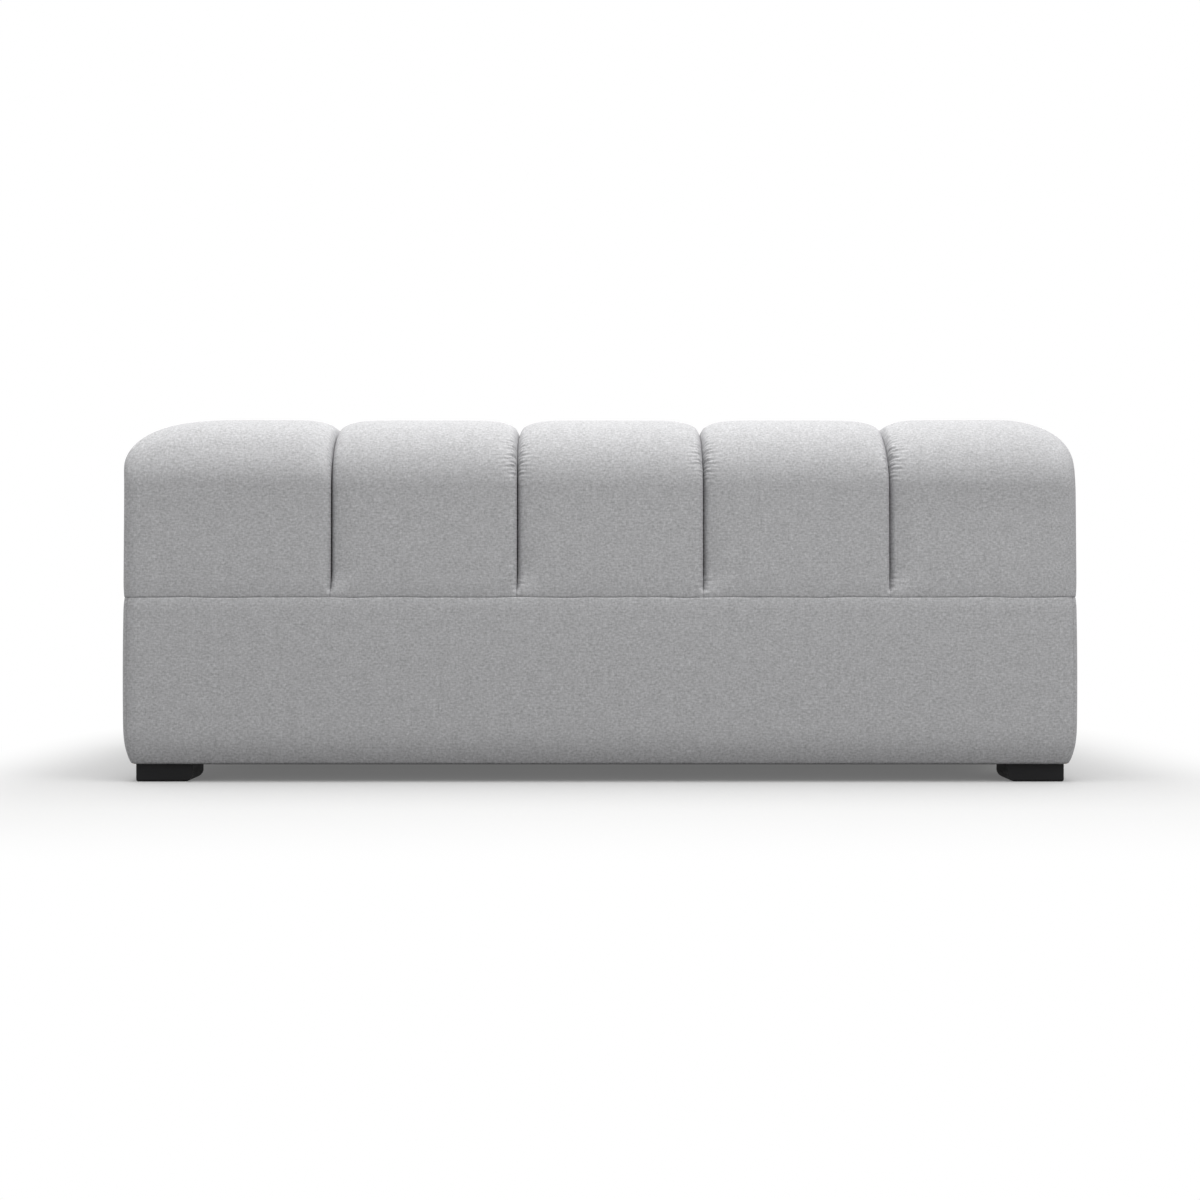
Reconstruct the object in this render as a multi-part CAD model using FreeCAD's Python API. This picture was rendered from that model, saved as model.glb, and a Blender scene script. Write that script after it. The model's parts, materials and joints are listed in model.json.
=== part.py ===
"""Two-seat module of a modular sofa: a plain upholstered band on low block feet carries a
channelled back, one channelled arm and a channelled seat. The other end is open, to join the
next module with two swing hooks.

Millimetres. +X runs towards the arm, +Y towards the back, +Z up. The origin is on the floor,
under the middle of the sofa.
"""

import math
import os

import FreeCAD
import Part

Vector = FreeCAD.Vector

# Overall block
WIDTH = 1700.0
DEPTH = 1000.0
HEIGHT = 655.0
BAND_TOP = 328.0
ARM_WIDTH = 371.0
BACK_DEPTH = 340.0
END_ALLOWANCE = 5.0
SEAT_CHANNELS = 4
ARM_CHANNELS = 2

# Rolled edges of the pads: reach along the level and drop from the top, or one radius
REAR_ROLL_REACH = 150.0
REAR_ROLL_DROP = 120.0
ARM_ROLL_REACH = 140.0
ARM_ROLL_DROP = 90.0
END_ROLL_REACH = 115.0
END_ROLL_DROP = 85.0
INNER_ROLL_RADIUS = 95.0
FRONT_ROLL_RADIUS = 45.0
SEAT_ROLL_RADIUS = 68.0
CREASE_BEVEL = 16.0
CORNER_RADIUS = 24.0
PAD_GAP = 0.3

# Padding over the timber frames and over the base
REAR_PADDING = 38.0
SIDE_PADDING = 38.0
LUMBAR_PADDING = 90.0
ARM_PADDING = 80.0
FRONT_PADDING = 60.0
TOP_PADDING = 95.0
SEAT_PAD_THICKNESS = 92.0
FOAM_THICKNESS = 53.0
FELT_THICKNESS = 1.4

# Plain band round the base, and the cloth under it
BAND_THICKNESS = 20.0
BAND_EDGE_RADIUS = 14.0
DUST_COVER_THICKNESS = 1.0
DUST_COVER_MARGIN = 4.0
DUST_COVER_NOTCH = 3.0

# Timber of the base, and boards of the upper frames
RAIL_THICKNESS = 26.0
BEAM_THICKNESS = 45.0
BEAM_HEIGHT = 140.0
BEAM_LEDGE = 14.0
STRETCHER_THICKNESS = 22.0
STRETCHER_COUNT = 3
CORNER_BLOCK_SIZE = 100.0
CORNER_BLOCK_HEIGHT = 70.0
CORNER_BLOCK_CHAMFER = 35.0
BOARD_THICKNESS = 15.0
SHEET_THICKNESS = 3.0
GABLE_HOLE_MARGIN = 50.0
GABLE_HOLE_BEVEL = 35.0

# Elastic straps
STRAP_THICKNESS = 1.8
STRAP_WIDTH = 70.0
SEAT_STRAP_PITCH = 150.0
BACK_STRAP_PITCH = 88.0

# Block feet
FOOT_HEIGHT = 32.0
FOOT_SIZE = 100.0
FOOT_INSET = 24.0
FOOT_INNER_RADIUS = 14.0
FOOT_OUTER_RADIUS = 4.0
FOOT_BOLT_DIAMETER = 8.0
FOOT_BOLT_LENGTH = 60.0
FOOT_BOLT_FLATS = 13.0
FOOT_BOLT_HEAD = 5.5
FOOT_RECESS_DIAMETER = 24.0
FOOT_RECESS_DEPTH = 16.0

# Hexagon-headed wood screws
SCREW_DIAMETER = 6.0
SCREW_FLATS = 10.0
SCREW_HEAD = 4.0
SCREW_CLEARANCE = 0.15
SCREW_LENGTH = 35.0

# Swing hooks that join the next module
CONNECTOR_OFFSET = 230.0
CONNECTOR_INSET = 72.0
CONNECTOR_BLOCK_HEIGHT = 50.0
CONNECTOR_BLOCK_LENGTH = 140.0
CONNECTOR_BLOCK_DEPTH = 110.0
PLATE_THICKNESS = 3.0
PLATE_LENGTH = 120.0
PLATE_WIDTH = 76.0
PLATE_CORNER_BEVEL = 8.0
PLATE_SCREW_SPACING = 84.0
PLATE_SCREW_SETBACK = 28.0
HOOK_THICKNESS = 4.0
HOOK_REACH = 98.0
HOOK_WIDTH = 30.0
HOOK_EYE_DIAMETER = 38.0
HOOK_CLAW_LENGTH = 30.0
HOOK_CLAW_WALL = 13.0
HOOK_PLAY = 0.3
STUD_DIAMETER = 10.0
STUD_CLEARANCE = 0.4
TAB_LENGTH = 26.0
TAB_REACH = 12.0
TAB_DROP = 14.0
TAB_BEND_RADIUS = 2.0
TAB_PLACE = 64.0
PIVOT_DIAMETER = 12.0
PIVOT_CLEARANCE = 0.075
PIVOT_FLATS = 19.0
PIVOT_HEAD = 5.0
PIVOT_LENGTH = 50.0

# Stations along X, from the open end to the arm
end_x = -WIDTH / 2
arm_x = WIDTH / 2
arm_inner_x = arm_x - ARM_WIDTH
channel_pitch = (arm_inner_x - end_x - END_ALLOWANCE) / SEAT_CHANNELS
seam_x = [arm_inner_x - i * channel_pitch for i in range(SEAT_CHANNELS)]

# Stations along Y, from the front to the back
front_y = -DEPTH / 2
rear_y = DEPTH / 2
back_front_y = rear_y - BACK_DEPTH
arm_pitch = (back_front_y - front_y) / ARM_CHANNELS
arm_seam_y = [back_front_y - i * arm_pitch for i in range(ARM_CHANNELS)]

# Levels of the seat, downwards from the pads
seat_z = BAND_TOP + SEAT_PAD_THICKNESS
felt_z1 = BAND_TOP - FOAM_THICKNESS
felt_z0 = felt_z1 - FELT_THICKNESS
cross_strap_z = felt_z0 - STRAP_THICKNESS
base_z1 = cross_strap_z - STRAP_THICKNESS
base_z0 = FOOT_HEIGHT
beam_z = base_z1 - BEAM_HEIGHT

# Base frame, inside the band
base_x0 = end_x + BAND_THICKNESS
base_x1 = arm_x - BAND_THICKNESS
base_y0 = front_y + BAND_THICKNESS
base_y1 = rear_y - BAND_THICKNESS
inner_x0 = base_x0 + RAIL_THICKNESS
inner_x1 = base_x1 - RAIL_THICKNESS
inner_y0 = base_y0 + RAIL_THICKNESS
inner_y1 = base_y1 - RAIL_THICKNESS

# Back frame and arm frame, inside the pads
back_x0 = end_x + SIDE_PADDING
back_x1 = arm_x - SIDE_PADDING
strap_y = back_front_y + LUMBAR_PADDING
back_y0 = strap_y + STRAP_THICKNESS
back_y1 = rear_y - REAR_PADDING
arm_x0 = arm_inner_x + ARM_PADDING
arm_x1 = back_x1
arm_y0 = front_y + FRONT_PADDING
arm_y1 = back_y0
frame_z1 = HEIGHT - TOP_PADDING
gable_z0 = base_z1 + BOARD_THICKNESS
gable_z1 = frame_z1 - BOARD_THICKNESS
back_gable_x = [back_x0 + BOARD_THICKNESS / 2, *reversed(seam_x), back_x1 - BOARD_THICKNESS / 2]
arm_gable_y = [arm_y0 + BOARD_THICKNESS / 2, *reversed(arm_seam_y[1:]), arm_y1 - BOARD_THICKNESS / 2]

# Beams that carry the inner edges of the seat straps and of the upper frames
back_beam_y0 = strap_y - BEAM_LEDGE
back_beam_y1 = back_beam_y0 + BEAM_THICKNESS
arm_beam_x0 = arm_x0 - BEAM_LEDGE
arm_beam_x1 = arm_beam_x0 + BEAM_THICKNESS

# Levels of the swing hooks, downwards from the base
plate_z = base_z0 - PLATE_THICKNESS
hook_z = plate_z - HOOK_PLAY - HOOK_THICKNESS
pivot_head_z = hook_z - HOOK_PLAY
hook_x = end_x + CONNECTOR_INSET

# A corner that isn't rounded, and how near two places are to count as one
SQUARE = (0.0, 0.0)
TOUCHING = 1e-3

# Ends of a channel: square, at a crease, and at the front of the arm
PLAIN_END = (0.0, 0)
CREASE_END = (CREASE_BEVEL, 1)
FRONT_END = (FRONT_ROLL_RADIUS, 2)


def box(x0, x1, y0, y1, z0, z1):
    """A block between two corners."""
    return Part.makeBox(x1 - x0, y1 - y0, z1 - z0, Vector(x0, y0, z0))


def cylinder(diameter, x, y, z0, z1):
    """An upright round bar."""
    return Part.makeCylinder(diameter / 2, z1 - z0, Vector(x, y, z0))


def hexagon(flats, x, y, z0, z1):
    """An upright bar of hexagonal section, measured across its flats."""
    radius = flats / math.sqrt(3)
    angles = [math.radians(60 * i) for i in range(7)]
    corners = [Vector(x + radius * math.cos(a), y + radius * math.sin(a), z0) for a in angles]
    return Part.Face(Part.makePolygon(corners)).extrude(Vector(0, 0, z1 - z0))


def joined(shapes):
    """One solid from several that touch or overlap."""
    return shapes[0].multiFuse(shapes[1:]).removeSplitter()


def group(shapes):
    """Separate solids kept together as one piece of the list."""
    return Part.makeCompound(shapes)


def arc(centre, start, end):
    """The shorter arc of a circle from start to end."""
    toward = (start - centre) + (end - centre)
    middle = centre + toward * ((start - centre).Length / toward.Length)
    return Part.Arc(start, middle, end).toShape()


def rounding(centre, start, end):
    """A quarter oval from start to end, the ends of its half axes: one arc where the axes are equal,
    and otherwise a tight arc that runs on into a wide one."""
    near, far = sorted((start, end), key=lambda point: (point - centre).Length)
    short, long = (near - centre).Length, (far - centre).Length
    if long - short < TOUCHING:
        return [arc(centre, start, end)]
    diagonal = math.hypot(long, short)
    tight = diagonal * (diagonal - (long - short)) / (2 * long)
    wide = diagonal * (diagonal + (long - short)) / (2 * short)
    tight_centre = centre + (far - centre) * (1 - tight / long)
    wide_centre = centre + (near - centre) * (1 - wide / short)
    outward = tight_centre - wide_centre
    change = tight_centre + outward * (tight / outward.Length)
    return [arc(tight_centre, far, change), arc(wide_centre, change, near)]


def outline(axis, place, a0, a1, b0, b1, corners):
    """A rounded rectangle across an axis. a and b are the other two axes in X, Y, Z order. corners are
    the (reach along a, reach along b) of the roundings at (a0, b0), (a1, b0), (a1, b1) and (a0, b1)."""

    def at(a, b):
        return {"x": Vector(place, a, b), "y": Vector(a, place, b), "z": Vector(a, b, place)}[axis]

    places = [(a0, b0, 1, 1), (a1, b0, -1, 1), (a1, b1, -1, -1), (a0, b1, 1, -1)]
    edges = []
    ends = []
    for i, ((a, b, sa, sb), (ra, rb)) in enumerate(zip(places, corners)):
        on_a, on_b = at(a + sa * ra, b), at(a, b + sb * rb)
        ends.append((on_b, on_a) if i % 2 == 0 else (on_a, on_b))
        if ra > 0 and rb > 0:
            edges += rounding(at(a + sa * ra, b + sb * rb), on_a, on_b)
    for i in range(4):
        start, end = ends[i][1], ends[(i + 1) % 4][0]
        if (end - start).Length > TOUCHING:
            edges.append(Part.LineSegment(start, end).toShape())
    return Part.Wire(Part.sortEdges(edges)[0])


def prism(axis, low, high, a0, a1, b0, b1, corners):
    """A rounded rectangle carried along an axis."""
    direction = {"x": Vector(1, 0, 0), "y": Vector(0, 1, 0), "z": Vector(0, 0, 1)}[axis]
    return Part.Face(outline(axis, low, a0, a1, b0, b1, corners)).extrude(direction * (high - low))


def channel(axis, low, high, a0, a1, top, corners, low_end, high_end):
    """A pad whose section, rolled at its top corners, runs along an axis from low to high. Each end is a
    radius and a number of facets: the section narrows towards it on the top and on both sides, as a
    quarter circle of that radius does."""

    def section(place, inset):
        lessened = [tuple(max(0.0, reach - inset) for reach in corner) for corner in corners]
        return outline(axis, place, a0 + inset, a1 - inset, BAND_TOP, top - inset, lessened)

    def steps(radius, facets):
        angles = [math.pi / 2 * i / facets for i in range(facets + 1)] if facets else [math.pi / 2]
        return [(radius * (1 - math.cos(a)), radius * (1 - math.sin(a))) for a in angles]

    sections = [section(low + inward, inset) for inward, inset in steps(*low_end)]
    sections += [section(high - inward, inset) for inward, inset in reversed(steps(*high_end))]
    return Part.makeLoft(sections, True, True)


# Padding


def back_channel(x0, x1, low_end, high_end):
    """A length of the back, rolled at the rear and at the front."""
    rolls = [SQUARE, SQUARE, (REAR_ROLL_REACH, REAR_ROLL_DROP), (INNER_ROLL_RADIUS, INNER_ROLL_RADIUS)]
    return channel("x", x0, x1, back_front_y, rear_y, HEIGHT, rolls, low_end, high_end)


def arm_channel(y0, y1, low_end, high_end):
    """A length of the arm, rolled on the outside and on the inside."""
    rolls = [SQUARE, SQUARE, (ARM_ROLL_REACH, ARM_ROLL_DROP), (INNER_ROLL_RADIUS, INNER_ROLL_RADIUS)]
    return channel("y", y0, y1, arm_inner_x, arm_x, HEIGHT, rolls, low_end, high_end)


def back_cavity():
    """Room for the back frame and its straps."""
    return box(back_x0, back_x1, strap_y, back_y1, base_z1, frame_z1)


def arm_cavity():
    """Room for the arm frame."""
    return box(arm_x0, arm_x1, arm_y0, arm_y1, base_z1, frame_z1)


def make_back_pads():
    """The channels between the arm's corner and the open end, which roll over the back's top."""
    pads = {}
    for i in range(SEAT_CHANNELS - 1):
        x0, x1 = seam_x[i + 1] + PAD_GAP / 2, seam_x[i] - PAD_GAP / 2
        pads[f"back_pad_{i + 1}"] = back_channel(x0, x1, CREASE_END, CREASE_END).cut(back_cavity())
    return pads


def make_back_end_pad():
    """The back's last channel, rolled down at the open end too."""
    seam = seam_x[-1] - PAD_GAP / 2
    rolled_end = prism(
        "y", back_front_y, rear_y, end_x, seam, BAND_TOP, HEIGHT,
        [SQUARE, SQUARE, SQUARE, (END_ROLL_REACH, END_ROLL_DROP)],
    )
    plan = prism(
        "z", BAND_TOP, HEIGHT, end_x, seam, back_front_y, rear_y,
        [(CORNER_RADIUS, CORNER_RADIUS), SQUARE, SQUARE, (CORNER_RADIUS, CORNER_RADIUS)],
    )
    pad = rolled_end.common(plan).common(back_channel(end_x, seam, PLAIN_END, CREASE_END))
    return pad.cut(back_cavity())


def make_corner_pad():
    """The block where the back meets the arm, rolled on its two outer sides. At its inner corner the
    rolls of the back's front and of the arm's inside meet in a valley."""
    seam = arm_inner_x + PAD_GAP / 2
    arm_seam = back_front_y + PAD_GAP / 2
    rear_roll = [SQUARE, SQUARE, (REAR_ROLL_REACH, REAR_ROLL_DROP), SQUARE]
    side_roll = [SQUARE, SQUARE, (ARM_ROLL_REACH, ARM_ROLL_DROP), SQUARE]
    along_back = channel("x", seam, arm_x, arm_seam, rear_y, HEIGHT, rear_roll, CREASE_END, PLAIN_END)
    along_arm = channel("y", arm_seam, rear_y, seam, arm_x, HEIGHT, side_roll, CREASE_END, PLAIN_END)
    plan = prism(
        "z", BAND_TOP, HEIGHT, seam, arm_x, arm_seam, rear_y,
        [SQUARE, SQUARE, (CORNER_RADIUS, CORNER_RADIUS), SQUARE],
    )
    inner_x, inner_y = arm_inner_x + INNER_ROLL_RADIUS, back_front_y + INNER_ROLL_RADIUS
    valley = box(arm_inner_x, inner_x, back_front_y, inner_y, HEIGHT - INNER_ROLL_RADIUS, HEIGHT)
    valley = valley.cut(back_channel(arm_inner_x, arm_x, PLAIN_END, PLAIN_END))
    valley = valley.cut(arm_channel(back_front_y, rear_y, PLAIN_END, PLAIN_END))
    pad = along_back.common(along_arm).common(plan).cut(valley)
    return pad.cut(back_cavity()).cut(arm_cavity())


def make_arm_pads():
    """The arm's channels, from the corner to the front, where the last one is rounded off."""
    pads = {}
    for i, seam in enumerate(arm_seam_y):
        last = i == ARM_CHANNELS - 1
        y0 = front_y if last else arm_seam_y[i + 1] + PAD_GAP / 2
        pad = arm_channel(y0, seam - PAD_GAP / 2, FRONT_END if last else CREASE_END, CREASE_END)
        pads[f"arm_pad_{i + 1}"] = pad.cut(arm_cavity())
    return pads


def make_seat_pads():
    """The seat's channels, which roll over the front edge and meet the back and the arm."""
    pads = {}
    y1 = back_front_y - PAD_GAP
    for i in range(SEAT_CHANNELS):
        last = i == SEAT_CHANNELS - 1
        x1 = seam_x[i] - PAD_GAP / 2
        x0 = end_x if last else seam_x[i + 1] + PAD_GAP / 2
        rolls = [SQUARE, SQUARE, SQUARE, (SEAT_ROLL_RADIUS, SEAT_ROLL_RADIUS)]
        pad = channel("x", x0, x1, front_y, y1, seat_z, rolls, PLAIN_END if last else CREASE_END, CREASE_END)
        if last:
            rolled_end = prism(
                "y", front_y, y1, x0, x1, BAND_TOP, seat_z,
                [SQUARE, SQUARE, SQUARE, (SEAT_ROLL_RADIUS, SEAT_ROLL_RADIUS)],
            )
            plan = prism(
                "z", BAND_TOP, seat_z, x0, x1, front_y, y1,
                [(CORNER_RADIUS, CORNER_RADIUS), SQUARE, SQUARE, SQUARE],
            )
            pad = rolled_end.common(plan).common(pad)
        pads[f"seat_pad_{i + 1}"] = pad
    return pads


def strap_spans(low, high, pitch):
    """The edges of the straps that fit side by side between two places, evenly spread."""
    count = max(1, int((high - low) // pitch))
    step = (high - low) / count
    middles = [low + (i + 0.5) * step for i in range(count)]
    return [(middle - STRAP_WIDTH / 2, middle + STRAP_WIDTH / 2) for middle in middles]


def make_seat_deck():
    """Elastic straps both ways over the base, a felt sheet and the foam slab that carries the pads."""
    x0, x1 = base_x0, arm_x0 - PAD_GAP
    y0, y1 = base_y0, strap_y - PAD_GAP
    long_straps = [
        box(left, right, y0, y1, base_z1, cross_strap_z) for left, right in strap_spans(x0, x1, SEAT_STRAP_PITCH)
    ]
    cross_straps = [
        box(x0, x1, near, far, cross_strap_z, felt_z0) for near, far in strap_spans(y0, y1, SEAT_STRAP_PITCH)
    ]
    return {
        "seat_straps_long": group(long_straps),
        "seat_straps_cross": group(cross_straps),
        "seat_felt": box(x0, x1, y0, y1, felt_z0, felt_z1),
        "seat_foam": box(x0, x1, y0, y1, felt_z1, BAND_TOP),
    }


# Band and dust cover


def make_band():
    """The plain upholstered band, mitred at its four corners."""
    low, high = base_z0, BAND_TOP
    edge = (BAND_EDGE_RADIUS, BAND_EDGE_RADIUS)
    outer = prism("x", end_x, arm_x, front_y, rear_y, low, high, [edge, edge, SQUARE, SQUARE])
    outer = outer.common(prism("y", front_y, rear_y, end_x, arm_x, low, high, [edge, edge, SQUARE, SQUARE]))
    corner = (CORNER_RADIUS, CORNER_RADIUS)
    outer = outer.common(prism("z", low, high, end_x, arm_x, front_y, rear_y, [corner] * 4))
    ring = outer.cut(box(base_x0, base_x1, base_y0, base_y1, low, high))
    mitres = {
        (x, y): (Vector(outer_x, outer_y, low), Vector(inner_x, inner_y, low))
        for x, outer_x, inner_x in (("end", end_x, base_x0), ("arm", arm_x, base_x1))
        for y, outer_y, inner_y in (("front", front_y, base_y0), ("rear", rear_y, base_y1))
    }
    sides = {
        "band_front": (("end", "front"), ("arm", "front")),
        "band_rear": (("arm", "rear"), ("end", "rear")),
        "band_open_end": (("end", "rear"), ("end", "front")),
        "band_arm_end": (("arm", "front"), ("arm", "rear")),
    }
    panels = {}
    for name, (first, second) in sides.items():
        (outer_a, inner_a), (outer_b, inner_b) = mitres[first], mitres[second]
        outline = Part.makePolygon([outer_a, outer_b, inner_b, inner_a, outer_a])
        panels[name] = ring.common(Part.Face(outline).extrude(Vector(0, 0, high - low)))
    return panels


def make_dust_cover():
    """The thin cloth stapled under the base, cut away round the feet and the hooks' plates."""
    low, high = base_z0 - DUST_COVER_THICKNESS, base_z0
    cover = box(
        base_x0 + DUST_COVER_MARGIN, base_x1 - DUST_COVER_MARGIN,
        base_y0 + DUST_COVER_MARGIN, base_y1 - DUST_COVER_MARGIN, low, high,
    )
    reach = FOOT_SIZE / 2 + DUST_COVER_NOTCH
    notches = []
    for _, x, y, sx, sy in foot_places():
        xs = sorted((x - sx * reach, sx * WIDTH))
        ys = sorted((y - sy * reach, sy * DEPTH))
        notches.append(box(*xs, *ys, low, high))
    for side in (-1, 1):
        x0, x1, y0, y1 = plate_edges(side)
        notches.append(box(
            x0 - DUST_COVER_NOTCH, x1 + DUST_COVER_NOTCH,
            y0 - DUST_COVER_NOTCH, y1 + DUST_COVER_NOTCH, low, high,
        ))
    return cover.cut(group(notches))


# Base frame


def make_rails():
    """The base's outer rails, and the two beams that carry the inner edges of the seat deck."""
    return {
        "base_front_rail": box(base_x0, base_x1, base_y0, inner_y0, base_z0, base_z1),
        "base_rear_rail": box(base_x0, base_x1, inner_y1, base_y1, base_z0, base_z1),
        "base_open_end_rail": box(base_x0, inner_x0, inner_y0, inner_y1, base_z0, base_z1),
        "base_arm_end_rail": box(inner_x1, base_x1, inner_y0, inner_y1, base_z0, base_z1),
        "back_beam": box(inner_x0, inner_x1, back_beam_y0, back_beam_y1, beam_z, base_z1),
        "arm_beam": box(arm_beam_x0, arm_beam_x1, inner_y0, back_beam_y0, beam_z, base_z1),
    }


def make_stretchers():
    """Cross members from the front rail to the rear rail, which carry the beams on their tops."""
    pitch = (arm_beam_x1 - BEAM_THICKNESS / 2 - inner_x0) / STRETCHER_COUNT
    half = STRETCHER_THICKNESS / 2
    middles = [inner_x0 + (i + 1) * pitch for i in range(STRETCHER_COUNT)]
    return group([box(x - half, x + half, inner_y0, inner_y1, base_z0, beam_z) for x in middles])


def make_corner_blocks():
    """Chamfered blocks in the base's corners, which take the bolts of the feet."""
    solids = []
    for _, bolt_x, bolt_y, sx, sy in foot_places():
        x, y = (inner_x0 if sx < 0 else inner_x1), (inner_y0 if sy < 0 else inner_y1)
        far_x, far_y = x - sx * CORNER_BLOCK_SIZE, y - sy * CORNER_BLOCK_SIZE
        outline = [
            (x, y), (far_x, y), (far_x, far_y + sy * CORNER_BLOCK_CHAMFER),
            (far_x + sx * CORNER_BLOCK_CHAMFER, far_y), (x, far_y), (x, y),
        ]
        face = Part.Face(Part.makePolygon([Vector(a, b, base_z0) for a, b in outline]))
        block = face.extrude(Vector(0, 0, CORNER_BLOCK_HEIGHT))
        bolt_top = FOOT_RECESS_DEPTH + FOOT_BOLT_LENGTH
        solids.append(block.cut(
            cylinder(FOOT_BOLT_DIAMETER + 2 * SCREW_CLEARANCE, bolt_x, bolt_y, base_z0, bolt_top)
        ))
    return group(solids)


# Upper frames


def bevelled_outline(a0, a1, b0, b1, bevel):
    """The corners of a rectangle whose own corners are cut off at 45 degrees."""
    return [
        (a0 + bevel, b0), (a1 - bevel, b0), (a1, b0 + bevel), (a1, b1 - bevel),
        (a1 - bevel, b1), (a0 + bevel, b1), (a0, b1 - bevel), (a0, b0 + bevel), (a0 + bevel, b0),
    ]


def gable(axis, place, a0, a1):
    """An upright board across a frame, with a large hole whose corners are bevelled."""
    low = place - BOARD_THICKNESS / 2
    hole = (a0 + GABLE_HOLE_MARGIN, a1 - GABLE_HOLE_MARGIN,
            gable_z0 + GABLE_HOLE_MARGIN, gable_z1 - GABLE_HOLE_MARGIN)
    bevel = min(GABLE_HOLE_BEVEL, (hole[1] - hole[0]) / 3, (hole[3] - hole[2]) / 3)
    corners = bevelled_outline(*hole, bevel)
    if axis == "x":
        points, thickness = [Vector(low, a, z) for a, z in corners], Vector(BOARD_THICKNESS, 0, 0)
    else:
        points, thickness = [Vector(a, low, z) for a, z in corners], Vector(0, BOARD_THICKNESS, 0)
    board = prism(axis, low, low + BOARD_THICKNESS, a0, a1, gable_z0, gable_z1, [SQUARE] * 4)
    return board.cut(Part.Face(Part.makePolygon(points)).extrude(thickness))


def make_back_frame():
    """Long boards above and below a row of upright boards, closed by a sheet behind and straps in front."""
    strap_end = arm_inner_x + BOARD_THICKNESS / 2
    sheet_y = back_y1 - SHEET_THICKNESS
    straps = [
        box(back_x0, strap_end, strap_y, back_y0, low, high)
        for low, high in strap_spans(gable_z0, gable_z1, BACK_STRAP_PITCH)
    ]
    return {
        "back_bottom_board": box(back_x0, back_x1, back_y0, back_y1, base_z1, gable_z0),
        "back_top_board": box(back_x0, back_x1, back_y0, back_y1, gable_z1, frame_z1),
        "back_gables": group([gable("x", x, back_y0, sheet_y) for x in back_gable_x]),
        "back_rear_sheet": box(back_x0, back_x1, sheet_y, back_y1, gable_z0, gable_z1),
        "back_straps": group(straps),
    }


def make_arm_frame():
    """The arm's boards: the same box as the back's, with a sheet on each side."""
    inner_sheet_x, outer_sheet_x = arm_x0 + SHEET_THICKNESS, arm_x1 - SHEET_THICKNESS
    return {
        "arm_bottom_board": box(arm_x0, arm_x1, arm_y0, arm_y1, base_z1, gable_z0),
        "arm_top_board": box(arm_x0, arm_x1, arm_y0, arm_y1, gable_z1, frame_z1),
        "arm_gables": group([gable("y", y, inner_sheet_x, outer_sheet_x) for y in arm_gable_y]),
        "arm_inner_sheet": box(arm_x0, inner_sheet_x, arm_y0, arm_y1, gable_z0, gable_z1),
        "arm_outer_sheet": box(outer_sheet_x, arm_x1, arm_y0, arm_y1, gable_z0, gable_z1),
    }


# Feet


def foot_places():
    """The four feet: name, centre, and the way each one's outer corner points."""
    x = arm_x - FOOT_INSET - FOOT_SIZE / 2
    y = rear_y - FOOT_INSET - FOOT_SIZE / 2
    return [
        ("foot_front_open_end", -x, -y, -1, -1),
        ("foot_front_arm", x, -y, 1, -1),
        ("foot_rear_open_end", -x, y, -1, 1),
        ("foot_rear_arm", x, y, 1, 1),
    ]


def make_feet():
    """Block feet whose two inner lower edges are well rounded, bored from below for a bolt."""
    half = FOOT_SIZE / 2
    inner = (FOOT_INNER_RADIUS, FOOT_INNER_RADIUS)
    outer = (FOOT_OUTER_RADIUS, FOOT_OUTER_RADIUS)
    feet = {}
    for name, x, y, sx, sy in foot_places():
        x0, x1, y0, y1 = x - half, x + half, y - half, y + half
        across = [inner, outer] if sx > 0 else [outer, inner]
        along = [inner, outer] if sy > 0 else [outer, inner]
        block = prism("y", y0, y1, x0, x1, 0, FOOT_HEIGHT, [*across, SQUARE, SQUARE])
        block = block.common(prism("x", x0, x1, y0, y1, 0, FOOT_HEIGHT, [*along, SQUARE, SQUARE]))
        block = block.cut(cylinder(FOOT_RECESS_DIAMETER, x, y, 0, FOOT_RECESS_DEPTH))
        feet[name] = block.cut(cylinder(FOOT_BOLT_DIAMETER + 2 * SCREW_CLEARANCE, x, y, 0, FOOT_HEIGHT))
    return feet


def make_foot_bolts():
    """One bolt in each foot, its head up inside the recess."""
    return group([
        joined([
            hexagon(FOOT_BOLT_FLATS, x, y, FOOT_RECESS_DEPTH - FOOT_BOLT_HEAD, FOOT_RECESS_DEPTH),
            cylinder(FOOT_BOLT_DIAMETER, x, y, FOOT_RECESS_DEPTH, FOOT_RECESS_DEPTH + FOOT_BOLT_LENGTH),
        ])
        for _, x, y, _, _ in foot_places()
    ])


# Swing hooks


def plate_edges(side):
    """The edges of a hook's plate: low x, high x, low y, high y."""
    y = side * CONNECTOR_OFFSET
    x1 = hook_x + PLATE_WIDTH - HOOK_EYE_DIAMETER / 2 - PLATE_CORNER_BEVEL
    return x1 - PLATE_WIDTH, x1, y - PLATE_LENGTH / 2, y + PLATE_LENGTH / 2


def plate_screw_places(side):
    """Two screws in a hook's plate, set back from its pivot, out of the hook's way."""
    y, offset = side * CONNECTOR_OFFSET, PLATE_SCREW_SPACING / 2
    return [(hook_x + PLATE_SCREW_SETBACK, y - offset), (hook_x + PLATE_SCREW_SETBACK, y + offset)]


def connector_holes(side):
    """Holes for the pivot and the screws of a hook, through its plate and up into its block."""
    gap = 2 * SCREW_CLEARANCE
    screw_top = plate_z + SCREW_LENGTH
    tools = [cylinder(SCREW_DIAMETER + gap, x, y, plate_z, screw_top) for x, y in plate_screw_places(side)]
    tools.append(cylinder(PIVOT_DIAMETER + gap, hook_x, side * CONNECTOR_OFFSET,
                          plate_z, pivot_head_z + PIVOT_LENGTH))
    return group(tools)


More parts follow.
